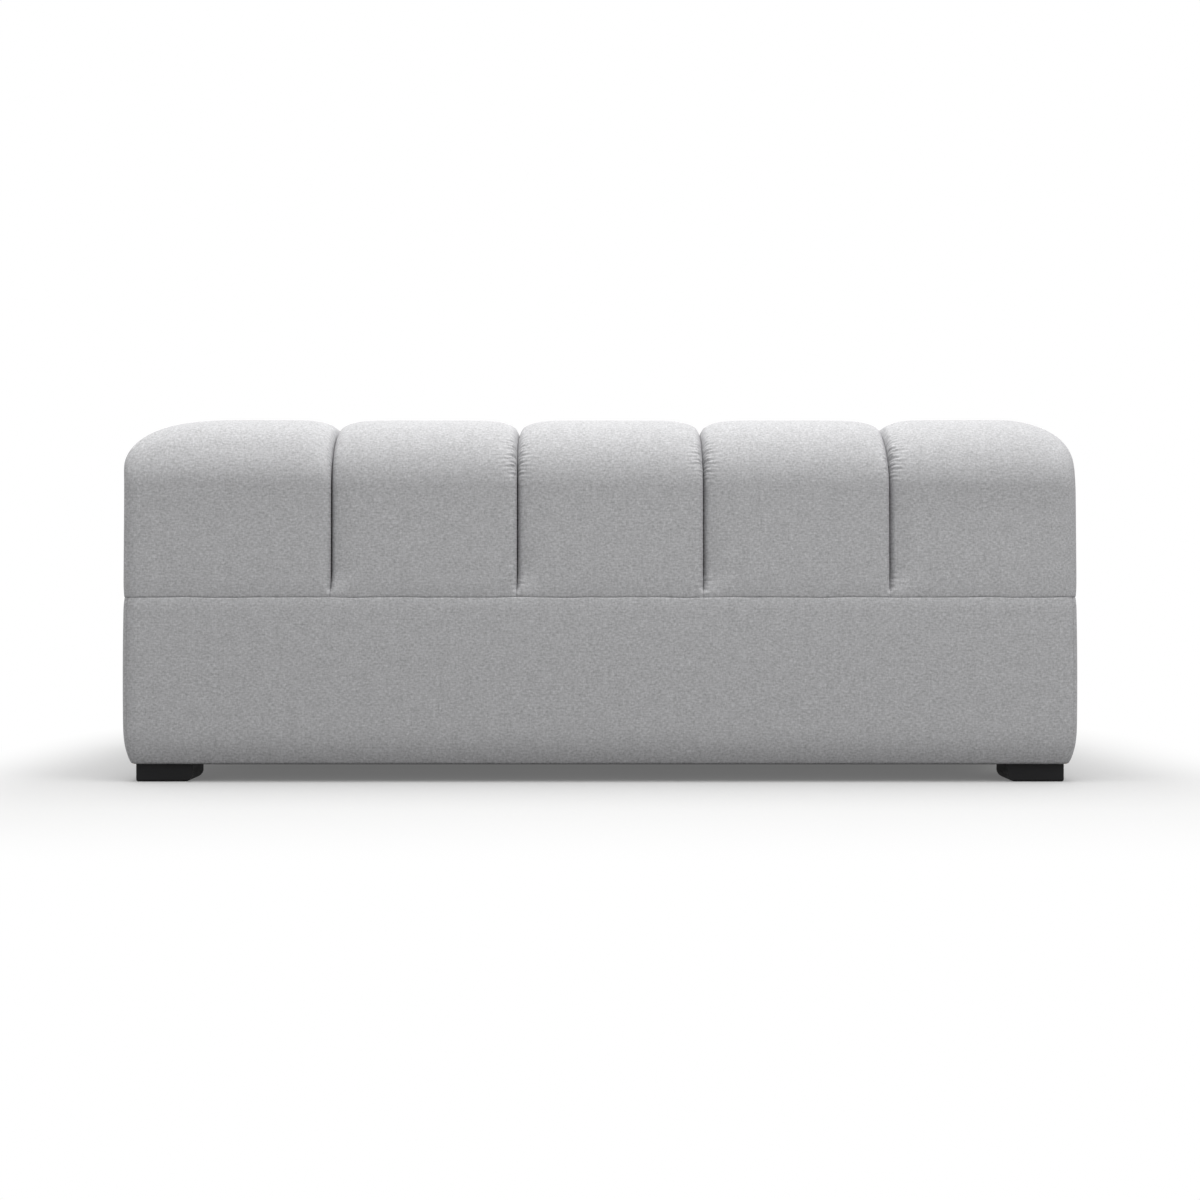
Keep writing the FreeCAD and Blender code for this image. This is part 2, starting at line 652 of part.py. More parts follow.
def make_connector_blocks():
    """Blocks behind the open end's rail, which take the pivots and the plates' screws."""
    half = CONNECTOR_BLOCK_LENGTH / 2
    solids = []
    for side in (-1, 1):
        y = side * CONNECTOR_OFFSET
        block = box(inner_x0, inner_x0 + CONNECTOR_BLOCK_DEPTH, y - half, y + half,
                    base_z0, base_z0 + CONNECTOR_BLOCK_HEIGHT)
        solids.append(block.cut(connector_holes(side)))
    return group(solids)


def make_hook(side):
    """The claw of a swing hook, folded inwards along the open end: an eye, a bar, a jaw whose slot
    follows a circle about the pivot, and a bent tab for the fingers."""
    y = side * CONNECTOR_OFFSET
    inwards = -side
    head_y = y + inwards * HOOK_REACH
    slot = STUD_DIAMETER + STUD_CLEARANCE
    jaw = slot + 2 * HOOK_CLAW_WALL
    low, high = hook_z, hook_z + HOOK_THICKNESS
    tab_y = y + inwards * TAB_PLACE
    tab_x = hook_x + HOOK_WIDTH / 2 + TAB_REACH
    outside = TAB_BEND_RADIUS + HOOK_THICKNESS
    tab = prism("y", tab_y - TAB_LENGTH / 2, tab_y + TAB_LENGTH / 2, hook_x, tab_x, high - TAB_DROP, high,
                [SQUARE, SQUARE, (outside, outside), SQUARE])
    under_tab = prism("y", tab_y - TAB_LENGTH / 2, tab_y + TAB_LENGTH / 2, hook_x, tab_x - HOOK_THICKNESS,
                      high - TAB_DROP, low, [SQUARE, SQUARE, (TAB_BEND_RADIUS, TAB_BEND_RADIUS), SQUARE])
    blank = joined([
        cylinder(HOOK_EYE_DIAMETER, hook_x, y, low, high),
        box(hook_x - HOOK_WIDTH / 2, hook_x + HOOK_WIDTH / 2, *sorted((y, head_y)), low, high),
        cylinder(jaw, hook_x, head_y, low, high),
        box(hook_x - HOOK_CLAW_LENGTH, hook_x, head_y - jaw / 2, head_y + jaw / 2, low, high),
        tab.cut(under_tab),
    ])
    ring = cylinder(2 * HOOK_REACH + slot, hook_x, y, low, high)
    ring = ring.cut(cylinder(2 * HOOK_REACH - slot, hook_x, y, low, high))
    throat_end = y + inwards * (HOOK_REACH + jaw)
    throat = ring.common(box(hook_x - 2 * HOOK_CLAW_LENGTH, hook_x, *sorted((y, throat_end)), low, high))
    hook = blank.cut(throat).cut(cylinder(slot, hook_x, head_y, low, high))
    return hook.cut(cylinder(PIVOT_DIAMETER + 2 * PIVOT_CLEARANCE, hook_x, y, low, high))


def make_connector(side):
    """One swing hook: its plate under the base, the hook and its pivot bolt. side is -1 for the front
    one and 1 for the rear one, which is its mirror image."""
    y = side * CONNECTOR_OFFSET
    corners = bevelled_outline(*plate_edges(side), PLATE_CORNER_BEVEL)
    face = Part.Face(Part.makePolygon([Vector(a, b, plate_z) for a, b in corners]))
    plate = face.extrude(Vector(0, 0, PLATE_THICKNESS))
    pivot = joined([
        hexagon(PIVOT_FLATS, hook_x, y, pivot_head_z - PIVOT_HEAD, pivot_head_z),
        cylinder(PIVOT_DIAMETER, hook_x, y, pivot_head_z, pivot_head_z + PIVOT_LENGTH),
    ])
    name = "front" if side < 0 else "rear"
    return {
        f"connector_plate_{name}": plate.cut(connector_holes(side)),
        f"connector_hook_{name}": make_hook(side),
        f"connector_pivot_{name}": pivot,
    }


def make_connector_screws():
    """The screws of the hooks' plates."""
    return group([
        joined([
            hexagon(SCREW_FLATS, x, y, plate_z - SCREW_HEAD, plate_z),
            cylinder(SCREW_DIAMETER, x, y, plate_z, plate_z + SCREW_LENGTH),
        ])
        for side in (-1, 1)
        for x, y in plate_screw_places(side)
    ])


def main():
    """Makes every piece and writes each to its own file."""
    pieces = {
        **make_rails(),
        "base_stretchers": make_stretchers(),
        "base_corner_blocks": make_corner_blocks(),
        "connector_blocks": make_connector_blocks(),
        **make_seat_deck(),
        **make_back_frame(),
        **make_arm_frame(),
        **make_back_pads(),
        "back_end_pad": make_back_end_pad(),
        "corner_pad": make_corner_pad(),
        **make_arm_pads(),
        **make_seat_pads(),
        **make_band(),
        "dust_cover": make_dust_cover(),
        **make_feet(),
        "foot_bolts": make_foot_bolts(),
        **make_connector(-1),
        **make_connector(1),
        "connector_screws": make_connector_screws(),
    }
    os.makedirs("parts", exist_ok=True)
    for name, shape in pieces.items():
        shape.exportStep(f"parts/{name}.step")
        print(f"{name}: {len(shape.Solids)} solid(s), {shape.Volume / 1e6:.4f} litres, valid {shape.isValid()}")
    print(f"{len(pieces)} pieces")


main()
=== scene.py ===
"""The looks of a two-seat module of a modular sofa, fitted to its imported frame.

Each pad is a thick cloth sheet: a grid of two parameters, across the channel and along its section, that
is pinched at the creases, tucked in at the seams and swollen by a cloth simulation. Metres, in the frame's
axes: +X towards the arm, +Y towards the back, +Z up.
"""

import json
import math

import bmesh
import bpy
import numpy as np
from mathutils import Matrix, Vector


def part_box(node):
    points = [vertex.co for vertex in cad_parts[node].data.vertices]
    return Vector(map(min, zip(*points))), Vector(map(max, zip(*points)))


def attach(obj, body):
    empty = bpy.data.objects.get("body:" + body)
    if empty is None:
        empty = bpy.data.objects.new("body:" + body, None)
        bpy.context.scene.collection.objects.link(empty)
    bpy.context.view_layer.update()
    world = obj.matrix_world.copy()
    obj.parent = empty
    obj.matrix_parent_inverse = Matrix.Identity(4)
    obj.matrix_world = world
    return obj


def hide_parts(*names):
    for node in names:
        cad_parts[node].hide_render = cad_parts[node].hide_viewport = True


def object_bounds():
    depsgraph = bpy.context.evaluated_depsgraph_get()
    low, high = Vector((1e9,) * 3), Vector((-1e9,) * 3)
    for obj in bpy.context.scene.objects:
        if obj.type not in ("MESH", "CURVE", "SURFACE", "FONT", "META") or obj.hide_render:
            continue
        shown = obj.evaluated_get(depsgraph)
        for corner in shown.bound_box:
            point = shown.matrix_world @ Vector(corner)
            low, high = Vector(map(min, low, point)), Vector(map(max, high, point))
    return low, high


bl_info = {
    "name": "Channelled Sofa Module",
    "version": (1, 0, 0),
    "blender": (4, 5, 0),
    "location": "3D View > Sidebar > Sofa",
    "description": "Covers the frame of a sofa module with channelled pads and a plain band",
    "category": "Object",
}

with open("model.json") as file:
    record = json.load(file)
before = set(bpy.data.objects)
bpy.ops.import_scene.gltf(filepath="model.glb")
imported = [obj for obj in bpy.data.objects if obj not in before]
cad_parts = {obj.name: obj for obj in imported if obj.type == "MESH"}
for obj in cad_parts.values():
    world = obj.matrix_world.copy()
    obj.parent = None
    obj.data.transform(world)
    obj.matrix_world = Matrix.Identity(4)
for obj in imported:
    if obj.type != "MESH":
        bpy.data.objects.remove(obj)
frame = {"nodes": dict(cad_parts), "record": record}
CAD_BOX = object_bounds()
SLOT_OF = {part["node"]: part["material_slot"] for part in frame["record"]["subparts"]}
BODY = "sofa"

# Samples along the parts of a pad's sheet, and how strongly they crowd towards a crease or a seam
ACROSS_SAMPLES = 66
WALL_SAMPLES = 40
ROLL_SAMPLES = 56
FOLDED_ROLL_SAMPLES = 100
TOP_SAMPLES = 20
END_ROLL_SAMPLES = 36
END_WALL_SAMPLES = 26
HALF_CORNER_SAMPLES = 9
CROWDING = 2.6

# Samples along the parts of one side of the band
BAND_BEND_SAMPLES = 14
BAND_RUN_SAMPLES = 150
BAND_RISE_SAMPLES = 70

# The cloth simulation: its frames, the steps in each and a point's mass, the passes that even out its rise,
# and how soon the rise levels off
CLOTH_FRAMES = 20
CLOTH_QUALITY = 5
CLOTH_MASS = 0.3
CLOTH_SMOOTHING = 14
CLOTH_LEVELLING = 2.5

# The highest power of the height by which an end's roll lowers the section, and the share of the power that
# would fold the section
STEEPEST_POWER = 3.0
UNFOLDED_SHARE = 0.8

# The share of the roll's reach by which the radius of the corner's outline grows, and the share of the
# outline's shorter side that it keeps to
CORNER_ROUNDING = 0.45

# Creases: the share that is left at the seam, the heights where the fold and the shoulder start and in which
# they grow whole, and the powers of nearness of a full and of a sloping shoulder
FADED = 0.12
FOLD_START = (0.007, 0.012)
SHOULDER_START = (0.004, 0.045)
FULL_POWER = 16
SLOPE_POWER = 5

# A wall at an inner corner: how far from the corner it starts to be drawn in and the distance in which that
# grows whole, and the same for how squarely it looks along the axis
FLUSH_REACH = (0.010, 0.060)
FACING_START = (0.3, 0.5)

# The slack of a sheet that isn't crowned: its share at the seam, the height where it is whole, and the share
# that the top loses.
LOW_SLACK = 0.2
SLACK_HEIGHT = 0.220
TOP_TAUTNESS = 0.7

# The small folds beside a crease: their height, the distances in which they die away and rise from it, the
# place and width of the group over the seam, and their shares all along, on the rolls and in that group
FOLD_HEIGHT = 0.0023
FOLD_REACH = 0.010
FOLD_RISE = 0.003
LOW_FOLDS = (0.032, 0.014)
FOLD_SHARES = (0.1, 0.9, 0.5)

# Sines of those folds: radians per metre along the crease and away from it, the seed's factor, and the share
FOLD_WAVES = ((760.0, 130.0, 1.3, 1.0), (480.0, -80.0, 2.1, 0.7))

# The small folds at each pad's creases: the seed of the first, and how strong they are
PAD_FOLDS = {
    "back_pad_1": (0, (1.5, 0.3)),
    "back_pad_2": (2, (1.0, 1.6)),
    "back_pad_3": (4, (0.5, 1.7)),
    "back_end_pad": (7, (2.0,)),
    "corner_pad": (11, (0.2, 0.6)),
    "arm_pad_1": (21, (0.8, 0.6)),
    "arm_pad_2": (23, (0.8,)),
    "seat_pad_1": (31, (0.8, 0.8)),
    "seat_pad_2": (33, (0.8, 0.8)),
    "seat_pad_3": (35, (0.8, 0.8)),
    "seat_pad_4": (39, (0.8,)),
}

# The seam: the heights over which it draws in the pads and the band, and the sines that it strays by
# (radians per metre, phase and share)
SEAM_REACH = 0.030
BAND_SEAM_REACH = 0.022
SEAM_WAVES = ((31.0, 0.0, 0.5), (53.0, 1.9, 0.35), (97.0, 4.1, 0.25))

# The band: the radius of its lower edge, its inset, its bulge and the bulge's power, the depths of its lip
# and its inner side, the height over which its hem leans in, the depth and reach of the seam at a corner,
# and the shares of the pads' turn at the seam that it has
BAND_EDGE = 0.004
BAND_INSET = 0.001
BAND_BULGE = 0.002
BULGE_POWER = 0.7
BAND_LIP = 0.019
BAND_DEPTH = 0.0195
HEM_REACH = 0.078
CORNER_SEAM = (0.0018, 0.004)
BAND_RADIUS_SHARE = 0.6
BAND_TUCK_SHARE = 0.4

# The seat: the reach and drop of its roll against the back, and the share of a crease's depth on top
SEAT_REAR_ROLL = (0.020, 0.016)
SEAT_CREASE_SHARE = 0.9

# The floor: half its width, the share of its colour that lights the sofa, the distances from the sofa over
# which it turns to plain white, and the weight of the distance beside the sofa
FLOOR_HALF = 30.0
FLOOR_BOUNCE = 0.25
FLOOR_FADE = (0.25, 1.1)
FLOOR_SIDE_WEIGHT = 6.0

# The channels of the back and the seat, from the arm to the open end
BACK_CHANNELS = ("back_pad_1", "back_pad_2", "back_pad_3", "back_end_pad")
SEAT_CHANNELS = ("seat_pad_1", "seat_pad_2", "seat_pad_3", "seat_pad_4")

# The pitch of the cloth's threads, plain white, and the distance within which points are welded
THREAD_PITCH = 0.0026
WHITE = (1.0, 1.0, 1.0, 1.0)
WELD = 1e-5


# Settings


class SofaCoverSettings(bpy.types.PropertyGroup):
    """Sizes of the pads' rolls, creases and seams, and the cloth's colour."""

    rear_roll: bpy.props.FloatVectorProperty(
        name="Rear roll", description="Reach and drop of the roll at the top of the back", size=2,
        default=(0.150, 0.130), unit="LENGTH")
    arm_roll: bpy.props.FloatVectorProperty(
        name="Arm roll", description="Reach and drop of the roll on the outside of the arm", size=2,
        default=(0.130, 0.098), unit="LENGTH")
    end_roll: bpy.props.FloatVectorProperty(
        name="End roll", description="Reach and drop of the back's roll at the open end", size=2,
        default=(0.120, 0.064), unit="LENGTH")
    inner_roll: bpy.props.FloatProperty(
        name="Inner roll", description="Radius of the rolls that face the seat", default=0.095,
        unit="LENGTH")
    seat_roll: bpy.props.FloatProperty(
        name="Seat roll", description="Radius of the seat's rolls", default=0.068, unit="LENGTH")
    arm_front_roll: bpy.props.FloatProperty(
        name="Arm front roll", description="Radius of the arm's front edge", default=0.045, unit="LENGTH")
    corner_radius: bpy.props.FloatProperty(
        name="Corner radius", description="Radius of the upright corners", default=0.032, unit="LENGTH")
    crease_top: bpy.props.FloatProperty(
        name="Crease on top", description="Depth of a crease where it runs over the top", default=0.019,
        unit="LENGTH")
    crease_face: bpy.props.FloatVectorProperty(
        name="Crease on a face", description="Depth of a crease on a face, on its full and its sloping side",
        size=2, default=(0.003, 0.016), unit="LENGTH")
    crease_reach: bpy.props.FloatProperty(
        name="Crease reach", description="How far from a crease its rounded shoulder begins", default=0.120,
        unit="LENGTH")
    pinch_depth: bpy.props.FloatProperty(
        name="Pinch depth", description="Depth of the tight fold at the line of a crease", default=0.011,
        unit="LENGTH")
    pinch_reach: bpy.props.FloatProperty(
        name="Pinch reach", description="Half width of the tight fold", default=0.010, unit="LENGTH")
    crown: bpy.props.FloatProperty(
        name="Crown", description="How far the middle of a channel stands proud of its edges", default=0.004,
        unit="LENGTH")
    seam_tuck: bpy.props.FloatProperty(
        name="Seam tuck", description="How far the cloth turns in at a seam", default=0.0010, unit="LENGTH")
    seam_radius: bpy.props.FloatProperty(
        name="Seam radius", description="Height of the turn at a seam", default=0.0035, unit="LENGTH")
    seam_pull: bpy.props.FloatProperty(
        name="Seam pull", description="How far a seam draws in the cloth around it", default=0.0014,
        unit="LENGTH")
    seam_wander: bpy.props.FloatProperty(
        name="Seam wander", description="How far the level seam strays up and down", default=0.0008,
        unit="LENGTH")
    hem_pull: bpy.props.FloatProperty(
        name="Hem pull", description="How far the band's lower edge leans in", default=0.013, unit="LENGTH")
    pressure: bpy.props.FloatProperty(
        name="Stuffing pressure", description="Pressure that blows up the cloth of a pad", default=4.0)
    cloth_step: bpy.props.FloatProperty(
        name="Cloth step", description="Size of the simulated cloth's cells", default=0.007, unit="LENGTH")
    cloth_limit: bpy.props.FloatProperty(
        name="Cloth limit", description="The most that the simulated cloth may rise", default=0.028,
        unit="LENGTH")
    padding: bpy.props.FloatProperty(
        name="Padding", description="Thickness of the padded sheet on the upright faces", default=0.0315,
        unit="LENGTH")
    top_padding: bpy.props.FloatProperty(
        name="Top padding", description="Thickness of the padded sheet on top", default=0.045, unit="LENGTH")
    colour: bpy.props.FloatVectorProperty(
        name="Cloth", description="Mean colour of the cover's cloth", size=3, default=(0.498, 0.498, 0.508),
        subtype="COLOR")


class SofaStageSettings(bpy.types.PropertyGroup):
    """The camera, the lights and the floor."""

    distance: bpy.props.FloatProperty(
        name="Camera distance", description="From the camera to the back's face", default=3.5, unit="LENGTH")
    height: bpy.props.FloatProperty(
        name="Camera height", description="Height of the level camera", default=0.3235, unit="LENGTH")
    width: bpy.props.FloatProperty(
        name="View width", description="Width of the picture at the back's face", default=2.1225,
        unit="LENGTH")
    floor: bpy.props.FloatVectorProperty(
        name="Floor", description="Colour of the floor", size=3, default=(0.66, 0.66, 0.66), subtype="COLOR")
    shadow_lift: bpy.props.FloatProperty(
        name="Shadow lift", description="Share of plain white in the floor beside the sofa", default=0.14,
        subtype="FACTOR")
    sky: bpy.props.FloatProperty(
        name="Room light", description="Strength of the even light from all around", default=0.81)
    key: bpy.props.FloatProperty(
        name="Softbox power", description="Power of the softbox over the sofa", default=70.0, unit="POWER")
    fill: bpy.props.FloatProperty(
        name="Side light power", description="Power of the softbox beside the camera", default=28.0,
        unit="POWER")


# Curves and grids


def eased(length, count, crowding=CROWDING):
    """Distances from 0 to length that crowd towards 0: length * sinh(c t) / sinh(c), with t even."""
    return length * np.sinh(crowding * np.linspace(0, 1, count + 1)) / math.sinh(crowding)


def eased_both(length, count):
    """Distances from 0 to length that crowd towards both ends."""
    half = eased(length / 2, count // 2)
    return np.concatenate([half, length - half[-2::-1]])


def smooth(t):
    """The smooth step 3 t^2 - 2 t^3, held at 0 and 1 outside that range."""
    t = np.clip(t, 0, 1)
    return t * t * (3 - 2 * t)


def ramp(value, start, reach):
    """The smooth step of a value that begins at start and is whole a reach further on."""
    return smooth((value - start) / reach)


def unit(vectors):
    """Vectors scaled to length 1, with those of no length left at zero."""
    length = np.linalg.norm(vectors, axis=-1, keepdims=True)
    return vectors / np.maximum(length, 1e-12)


class Arch:
    """A channel's section: up an outer wall, over an oval roll, level across the top, over a second roll and
    down an inner wall. a is the level coordinate, z the height and s the length along it. The outer wall has
    the larger a."""

    def __init__(self, outer, inner, low, high, outer_roll, inner_roll):
        (reach, drop), (inner_reach, inner_drop) = outer_roll, inner_roll
        turn = np.linspace(0, np.pi / 2, FOLDED_ROLL_SAMPLES)
        inner_turn = np.linspace(np.pi / 2, 0, ROLL_SAMPLES)
        up = low + eased(high - drop - low, WALL_SAMPLES)[:-1]
        down = low + eased(high - inner_drop - low, WALL_SAMPLES)[-2::-1]
        level = np.linspace(outer - reach, inner + inner_reach, TOP_SAMPLES)[1:-1]
        self.a = np.concatenate([
            np.full(up.size, outer), outer - reach * (1 - np.cos(turn)), level,
            inner + inner_reach * (1 - np.cos(inner_turn)), np.full(down.size, inner)])
        self.z = np.concatenate([
            up, high - drop * (1 - np.sin(turn)), np.full(level.size, high),
            high - inner_drop * (1 - np.sin(inner_turn)), down])
        self.s = np.concatenate([[0], np.cumsum(np.hypot(np.diff(self.a), np.diff(self.z)))])
        self.middle = (outer + inner) / 2
        self.low = low


class Sheet:
    """A grid of points with what shapes it: its outward normals, the distances to its creases, which of them
    it meets with a full edge, and the cloth coordinates of its weave. Its rows run across the channel, and
    its columns along the section."""

    def __init__(self, points, creases, full, weave, facing=None):
        self.points = points
        self.creases = creases
        self.full = full
        self.weave = weave
        across, along = np.gradient(points, axis=0), np.gradient(points, axis=1)
        normals = unit(np.cross(across, along))
        centre = points.mean(axis=(0, 1))
        if np.sum(normals * (points - centre)) < 0:
            normals = -normals
        if facing is not None:
            rows, direction = facing
            normals[rows] = direction
        self.normals = normals


def channel_sheet(arch, low, high, axis):
    """A channel between two creases: its section carried straight along an axis. Its edge is full at low,
    and slopes in at high."""
    along = low + eased_both(high - low, ACROSS_SAMPLES)
    grid = np.broadcast_arrays(along[:, None], arch.a, arch.z)
    weave = np.stack(np.broadcast_arrays(along[:, None], arch.s), axis=-1)
    gaps = [grid[0] - low, high - grid[0]]
    return Sheet(placed(grid, axis), gaps, (True, False), weave)


def rolled_sheet(arch, low, high, axis, top_roll, edge_radius):
    """A channel from a crease at high to a rolled end at low. The section is carried along the axis. Near
    the end a quarter oval of top_roll (reach, drop) lowers it, most at its top (by a power of the height
    that leaves the section unfolded), and a quarter circle of edge_radius narrows it. The end's wall then
    closes on the middle of its lower edge."""
    reach, drop = top_roll
    body = eased(1, ACROSS_SAMPLES)[:, None]
    turn = np.linspace(0, np.pi / 2, END_ROLL_SAMPLES)[1:, None]
    close = np.linspace(0, 1, END_WALL_SAMPLES)[1:, None]
    along = np.concatenate([
        high - (high - low - reach) * body, low + reach * (1 - np.sin(turn)), low + 0 * close])
    turned = np.concatenate([0 * body, turn, np.pi / 2 + 0 * close])
    edge = 1 - np.clip((along - low) / edge_radius, 0, 1)
    shut = np.concatenate([1 + 0 * body, 1 + 0 * turn, 1 - close])
    tall = arch.z.max() - arch.low
    power = min(STEEPEST_POWER, UNFOLDED_SHARE * tall / drop - 1)
    lower = 1 - drop / tall * (1 - np.cos(turned)) * ((arch.z - arch.low) / tall) ** power
    narrow = 1 - edge_radius / (arch.a.max() - arch.middle) * (1 - np.sqrt(1 - edge ** 2))
    a = arch.middle + (arch.a - arch.middle) * narrow * shut
    z = arch.low + (arch.z - arch.low) * lower * shut
    along = along + 0 * arch.a
    weave = np.stack([np.where(turned > 0, low + reach * (1 - turned), along), arch.s + 0 * along], axis=-1)
    wall = slice(len(body) + len(turn) - 1, None)
    weave[wall] = np.stack([a[wall], z[wall]], axis=-1)
    outward = {"x": (-1, 0, 0), "y": (0, -1, 0)}[axis]
    return Sheet(placed((along, a, z), axis), [high - along], (False,), weave, (wall, outward))


def placed(grid, axis):
    """Points from their places along the axis, across it and upwards."""
    along, a, z = grid
    return np.stack((along, a, z) if axis == "x" else (a, along, z), axis=-1)


def corner_sheet(inner, outer, low, high, rear_roll, arm_roll, inner_roll, radius):
    """The block where the back meets the arm: L-shaped outlines, rounded at the outer corner, that rise up
    the wall, turn in over the rolls and shrink to the inner corner. There the height is the larger of the
    back's and the arm's inner rolls, so that they meet in a valley. The cloth lies flat on top in two cuts
    that meet in a mitre, where the outline is doubled."""
    turn = np.linspace(0, np.pi / 2, ROLL_SAMPLES)
    wall = eased(1, WALL_SAMPLES)[:-1]
    level = np.linspace(0, 1, 2 * ROLL_SAMPLES)[1:]
    turned = np.concatenate([0 * wall, turn, np.full(level.size, np.pi / 2)])
    shrunk = np.concatenate([0 * wall, 0 * turn, level])
    raised = np.concatenate([wall, np.ones(turn.size + level.size)])
    size = np.array(outer) - np.array(inner)
    drawn = [reach * (1 - np.cos(turned)) for reach in (arm_roll[0], rear_roll[0])]
    drawn = [d + shrunk * (side - d) for d, side in zip(drawn, size)]
    x_far, y_far = outer[0] - drawn[0], outer[1] - drawn[1]
    shorter = np.minimum(x_far - inner[0], y_far - inner[1])
    round_off = np.minimum(radius + CORNER_ROUNDING * drawn[0], CORNER_ROUNDING * shorter)
    run = eased(1, ACROSS_SAMPLES // 2 + 10)[:, None]
    half_bend = np.linspace(0, np.pi / 4, HALF_CORNER_SAMPLES)[1:, None]
    bend = np.concatenate([half_bend, np.pi / 2 - half_bend[::-1]])
    x = np.concatenate([
        inner[0] + run * (x_far - round_off - inner[0]), x_far - round_off * (1 - np.sin(bend)),
        x_far + 0 * run])
    y = np.concatenate([
        y_far + 0 * run, y_far - round_off * (1 - np.cos(bend)),
        inner[1] + run[::-1] * (y_far - round_off - inner[1])])
    share = np.concatenate([0 * run, bend / (np.pi / 2), 1 + 0 * run])
    drop = rear_roll[1] + (arm_roll[1] - rear_roll[1]) * smooth(share)
    z = low + raised * (high - drop - low) + drop * np.sin(turned)
    dip = [inner_roll - np.clip(side, 0, inner_roll) for side in (x - inner[0], y - inner[1])]
    valley = [inner_roll - np.sqrt(np.maximum(inner_roll ** 2 - d ** 2, 0)) for d in dip]
    z = z - np.where(shrunk > 0, np.minimum(*valley), 0)
    points = np.stack([x, y, z], axis=-1)
    up = np.cumsum(np.linalg.norm(np.diff(points, axis=1, prepend=points[:, :1]), axis=-1), axis=1)
    brim = wall.size + turn.size - 1
    mitre = len(run) + len(half_bend)
    on_back = (np.arange(len(x)) < mitre)[:, None]
    flat = np.where(on_back, up[0, brim] + y[0, brim] - y, up[-1, brim] + x[-1, brim] - x)
    up = up + (flat - up)[:, brim:brim + 1] * smooth(turned / (np.pi / 2))
    up[:, brim:] = flat[:, brim:]
    weave = np.stack([np.where(on_back, x, outer[0] + outer[1] - y), up], axis=-1)
    sheet = Sheet(points, [x - inner[0], y - inner[1]], (True, True), weave)
    sheet.normals[mitre - 1:mitre + 1] = unit(sheet.normals[mitre - 1] + sheet.normals[mitre])
    sheet.normals[:, -1] = sheet.normals[:, -2].mean(axis=0)
    return sheet


def thinned(lengths, step):
    """Indices of samples that stand at least a step apart, with the first and the last."""
    picked = np.unique(np.searchsorted(lengths, np.arange(0, lengths[-1] - step / 2, step)))
    return np.append(picked, lengths.size - 1)


def spread(values, picked, lengths):
    """Values at the picked samples carried to all samples, by straight lines between them."""
    weights = [np.interp(lengths, lengths[picked], row) for row in np.eye(picked.size)]
    return np.stack(weights, axis=-1) @ values


def quads(at):
    """The four-sided faces of a grid of point numbers."""
    return np.stack([at[:-1, :-1], at[1:, :-1], at[1:, 1:], at[:-1, 1:]], axis=-1).reshape(-1, 4)


def stuffed(sheet, cover):
    """How far the stuffing pushes each point of a sheet out, from 0 at its sewn edges to 1: the sheet as
    cloth, pinned along its edges and blown up by an even pressure. The rise is evened out, and levels off by
    an exponential."""
    scene = bpy.context.scene
    steps = [np.linalg.norm(np.diff(sheet.points, axis=axis), axis=-1).mean(1 - axis) for axis in (0, 1)]
    lengths = [np.append(0, np.cumsum(step)) for step in steps]
    rows, columns = (thinned(length, cover.cloth_step) for length in lengths)
    points = sheet.points[np.ix_(rows, columns)]
    at = np.arange(points[..., 0].size).reshape(points.shape[:2])
    faces = quads(at)
    mesh = bpy.data.meshes.new("stuffing")
    mesh.from_pydata(points.reshape(-1, 3).tolist(), [], faces.tolist())
    cloth = bpy.data.objects.new("stuffing", mesh)
    scene.collection.objects.link(cloth)
    held = np.zeros(at.shape, bool)
    held[[0, -1]] = True
    held[:, [0, -1]] = True
    cloth.vertex_groups.new(name="held").add(at[held].tolist(), 1.0, "REPLACE")
    blow = cloth.modifiers.new("cloth", "CLOTH")
    blow.settings.vertex_group_mass = "held"
    blow.settings.quality = CLOTH_QUALITY
    blow.settings.mass = CLOTH_MASS
    blow.settings.use_pressure = True
    blow.settings.uniform_pressure_force = cover.pressure
    blow.settings.effector_weights.gravity = 0.0
    blow.collision_settings.use_collision = False
    blow.point_cache.frame_start = 1
    blow.point_cache.frame_end = CLOTH_FRAMES
    for step in range(1, CLOTH_FRAMES + 1):
        scene.frame_set(step)
    blown = cloth.evaluated_get(bpy.context.evaluated_depsgraph_get()).data
    moved = np.empty(at.size * 3)
    blown.vertices.foreach_get("co", moved)
    scene.frame_set(1)
    bpy.data.objects.remove(cloth)
    bpy.data.meshes.remove(mesh)
    rise = np.sum((moved.reshape(points.shape) - points) * sheet.normals[np.ix_(rows, columns)], axis=-1)
    rise = np.clip(rise, 0, cover.cloth_limit)
    for _ in range(CLOTH_SMOOTHING):
        rise[1:-1] = (rise[:-2] + 2 * rise[1:-1] + rise[2:]) / 4
        rise[:, 1:-1] = (rise[:, :-2] + 2 * rise[:, 1:-1] + rise[:, 2:]) / 4
    whole = spread(spread(rise, rows, lengths[0]).T, columns, lengths[1]).T
    return (1 - np.exp(-CLOTH_LEVELLING * whole / whole.max())) / (1 - math.exp(-CLOTH_LEVELLING))


def wander(place, away, cover):
    """How far the seam between the pads and the band rises or falls at a place: three sines of unlike
    lengths round the sofa, which die away within a few centimetres of the seam."""
    run = place[..., 0] - place[..., 1]
    wave = sum(share * np.sin(rate * run + phase) for rate, phase, share in SEAM_WAVES)
    return cover.seam_wander * wave * (1 - ramp(np.abs(away), 0, SEAM_REACH))


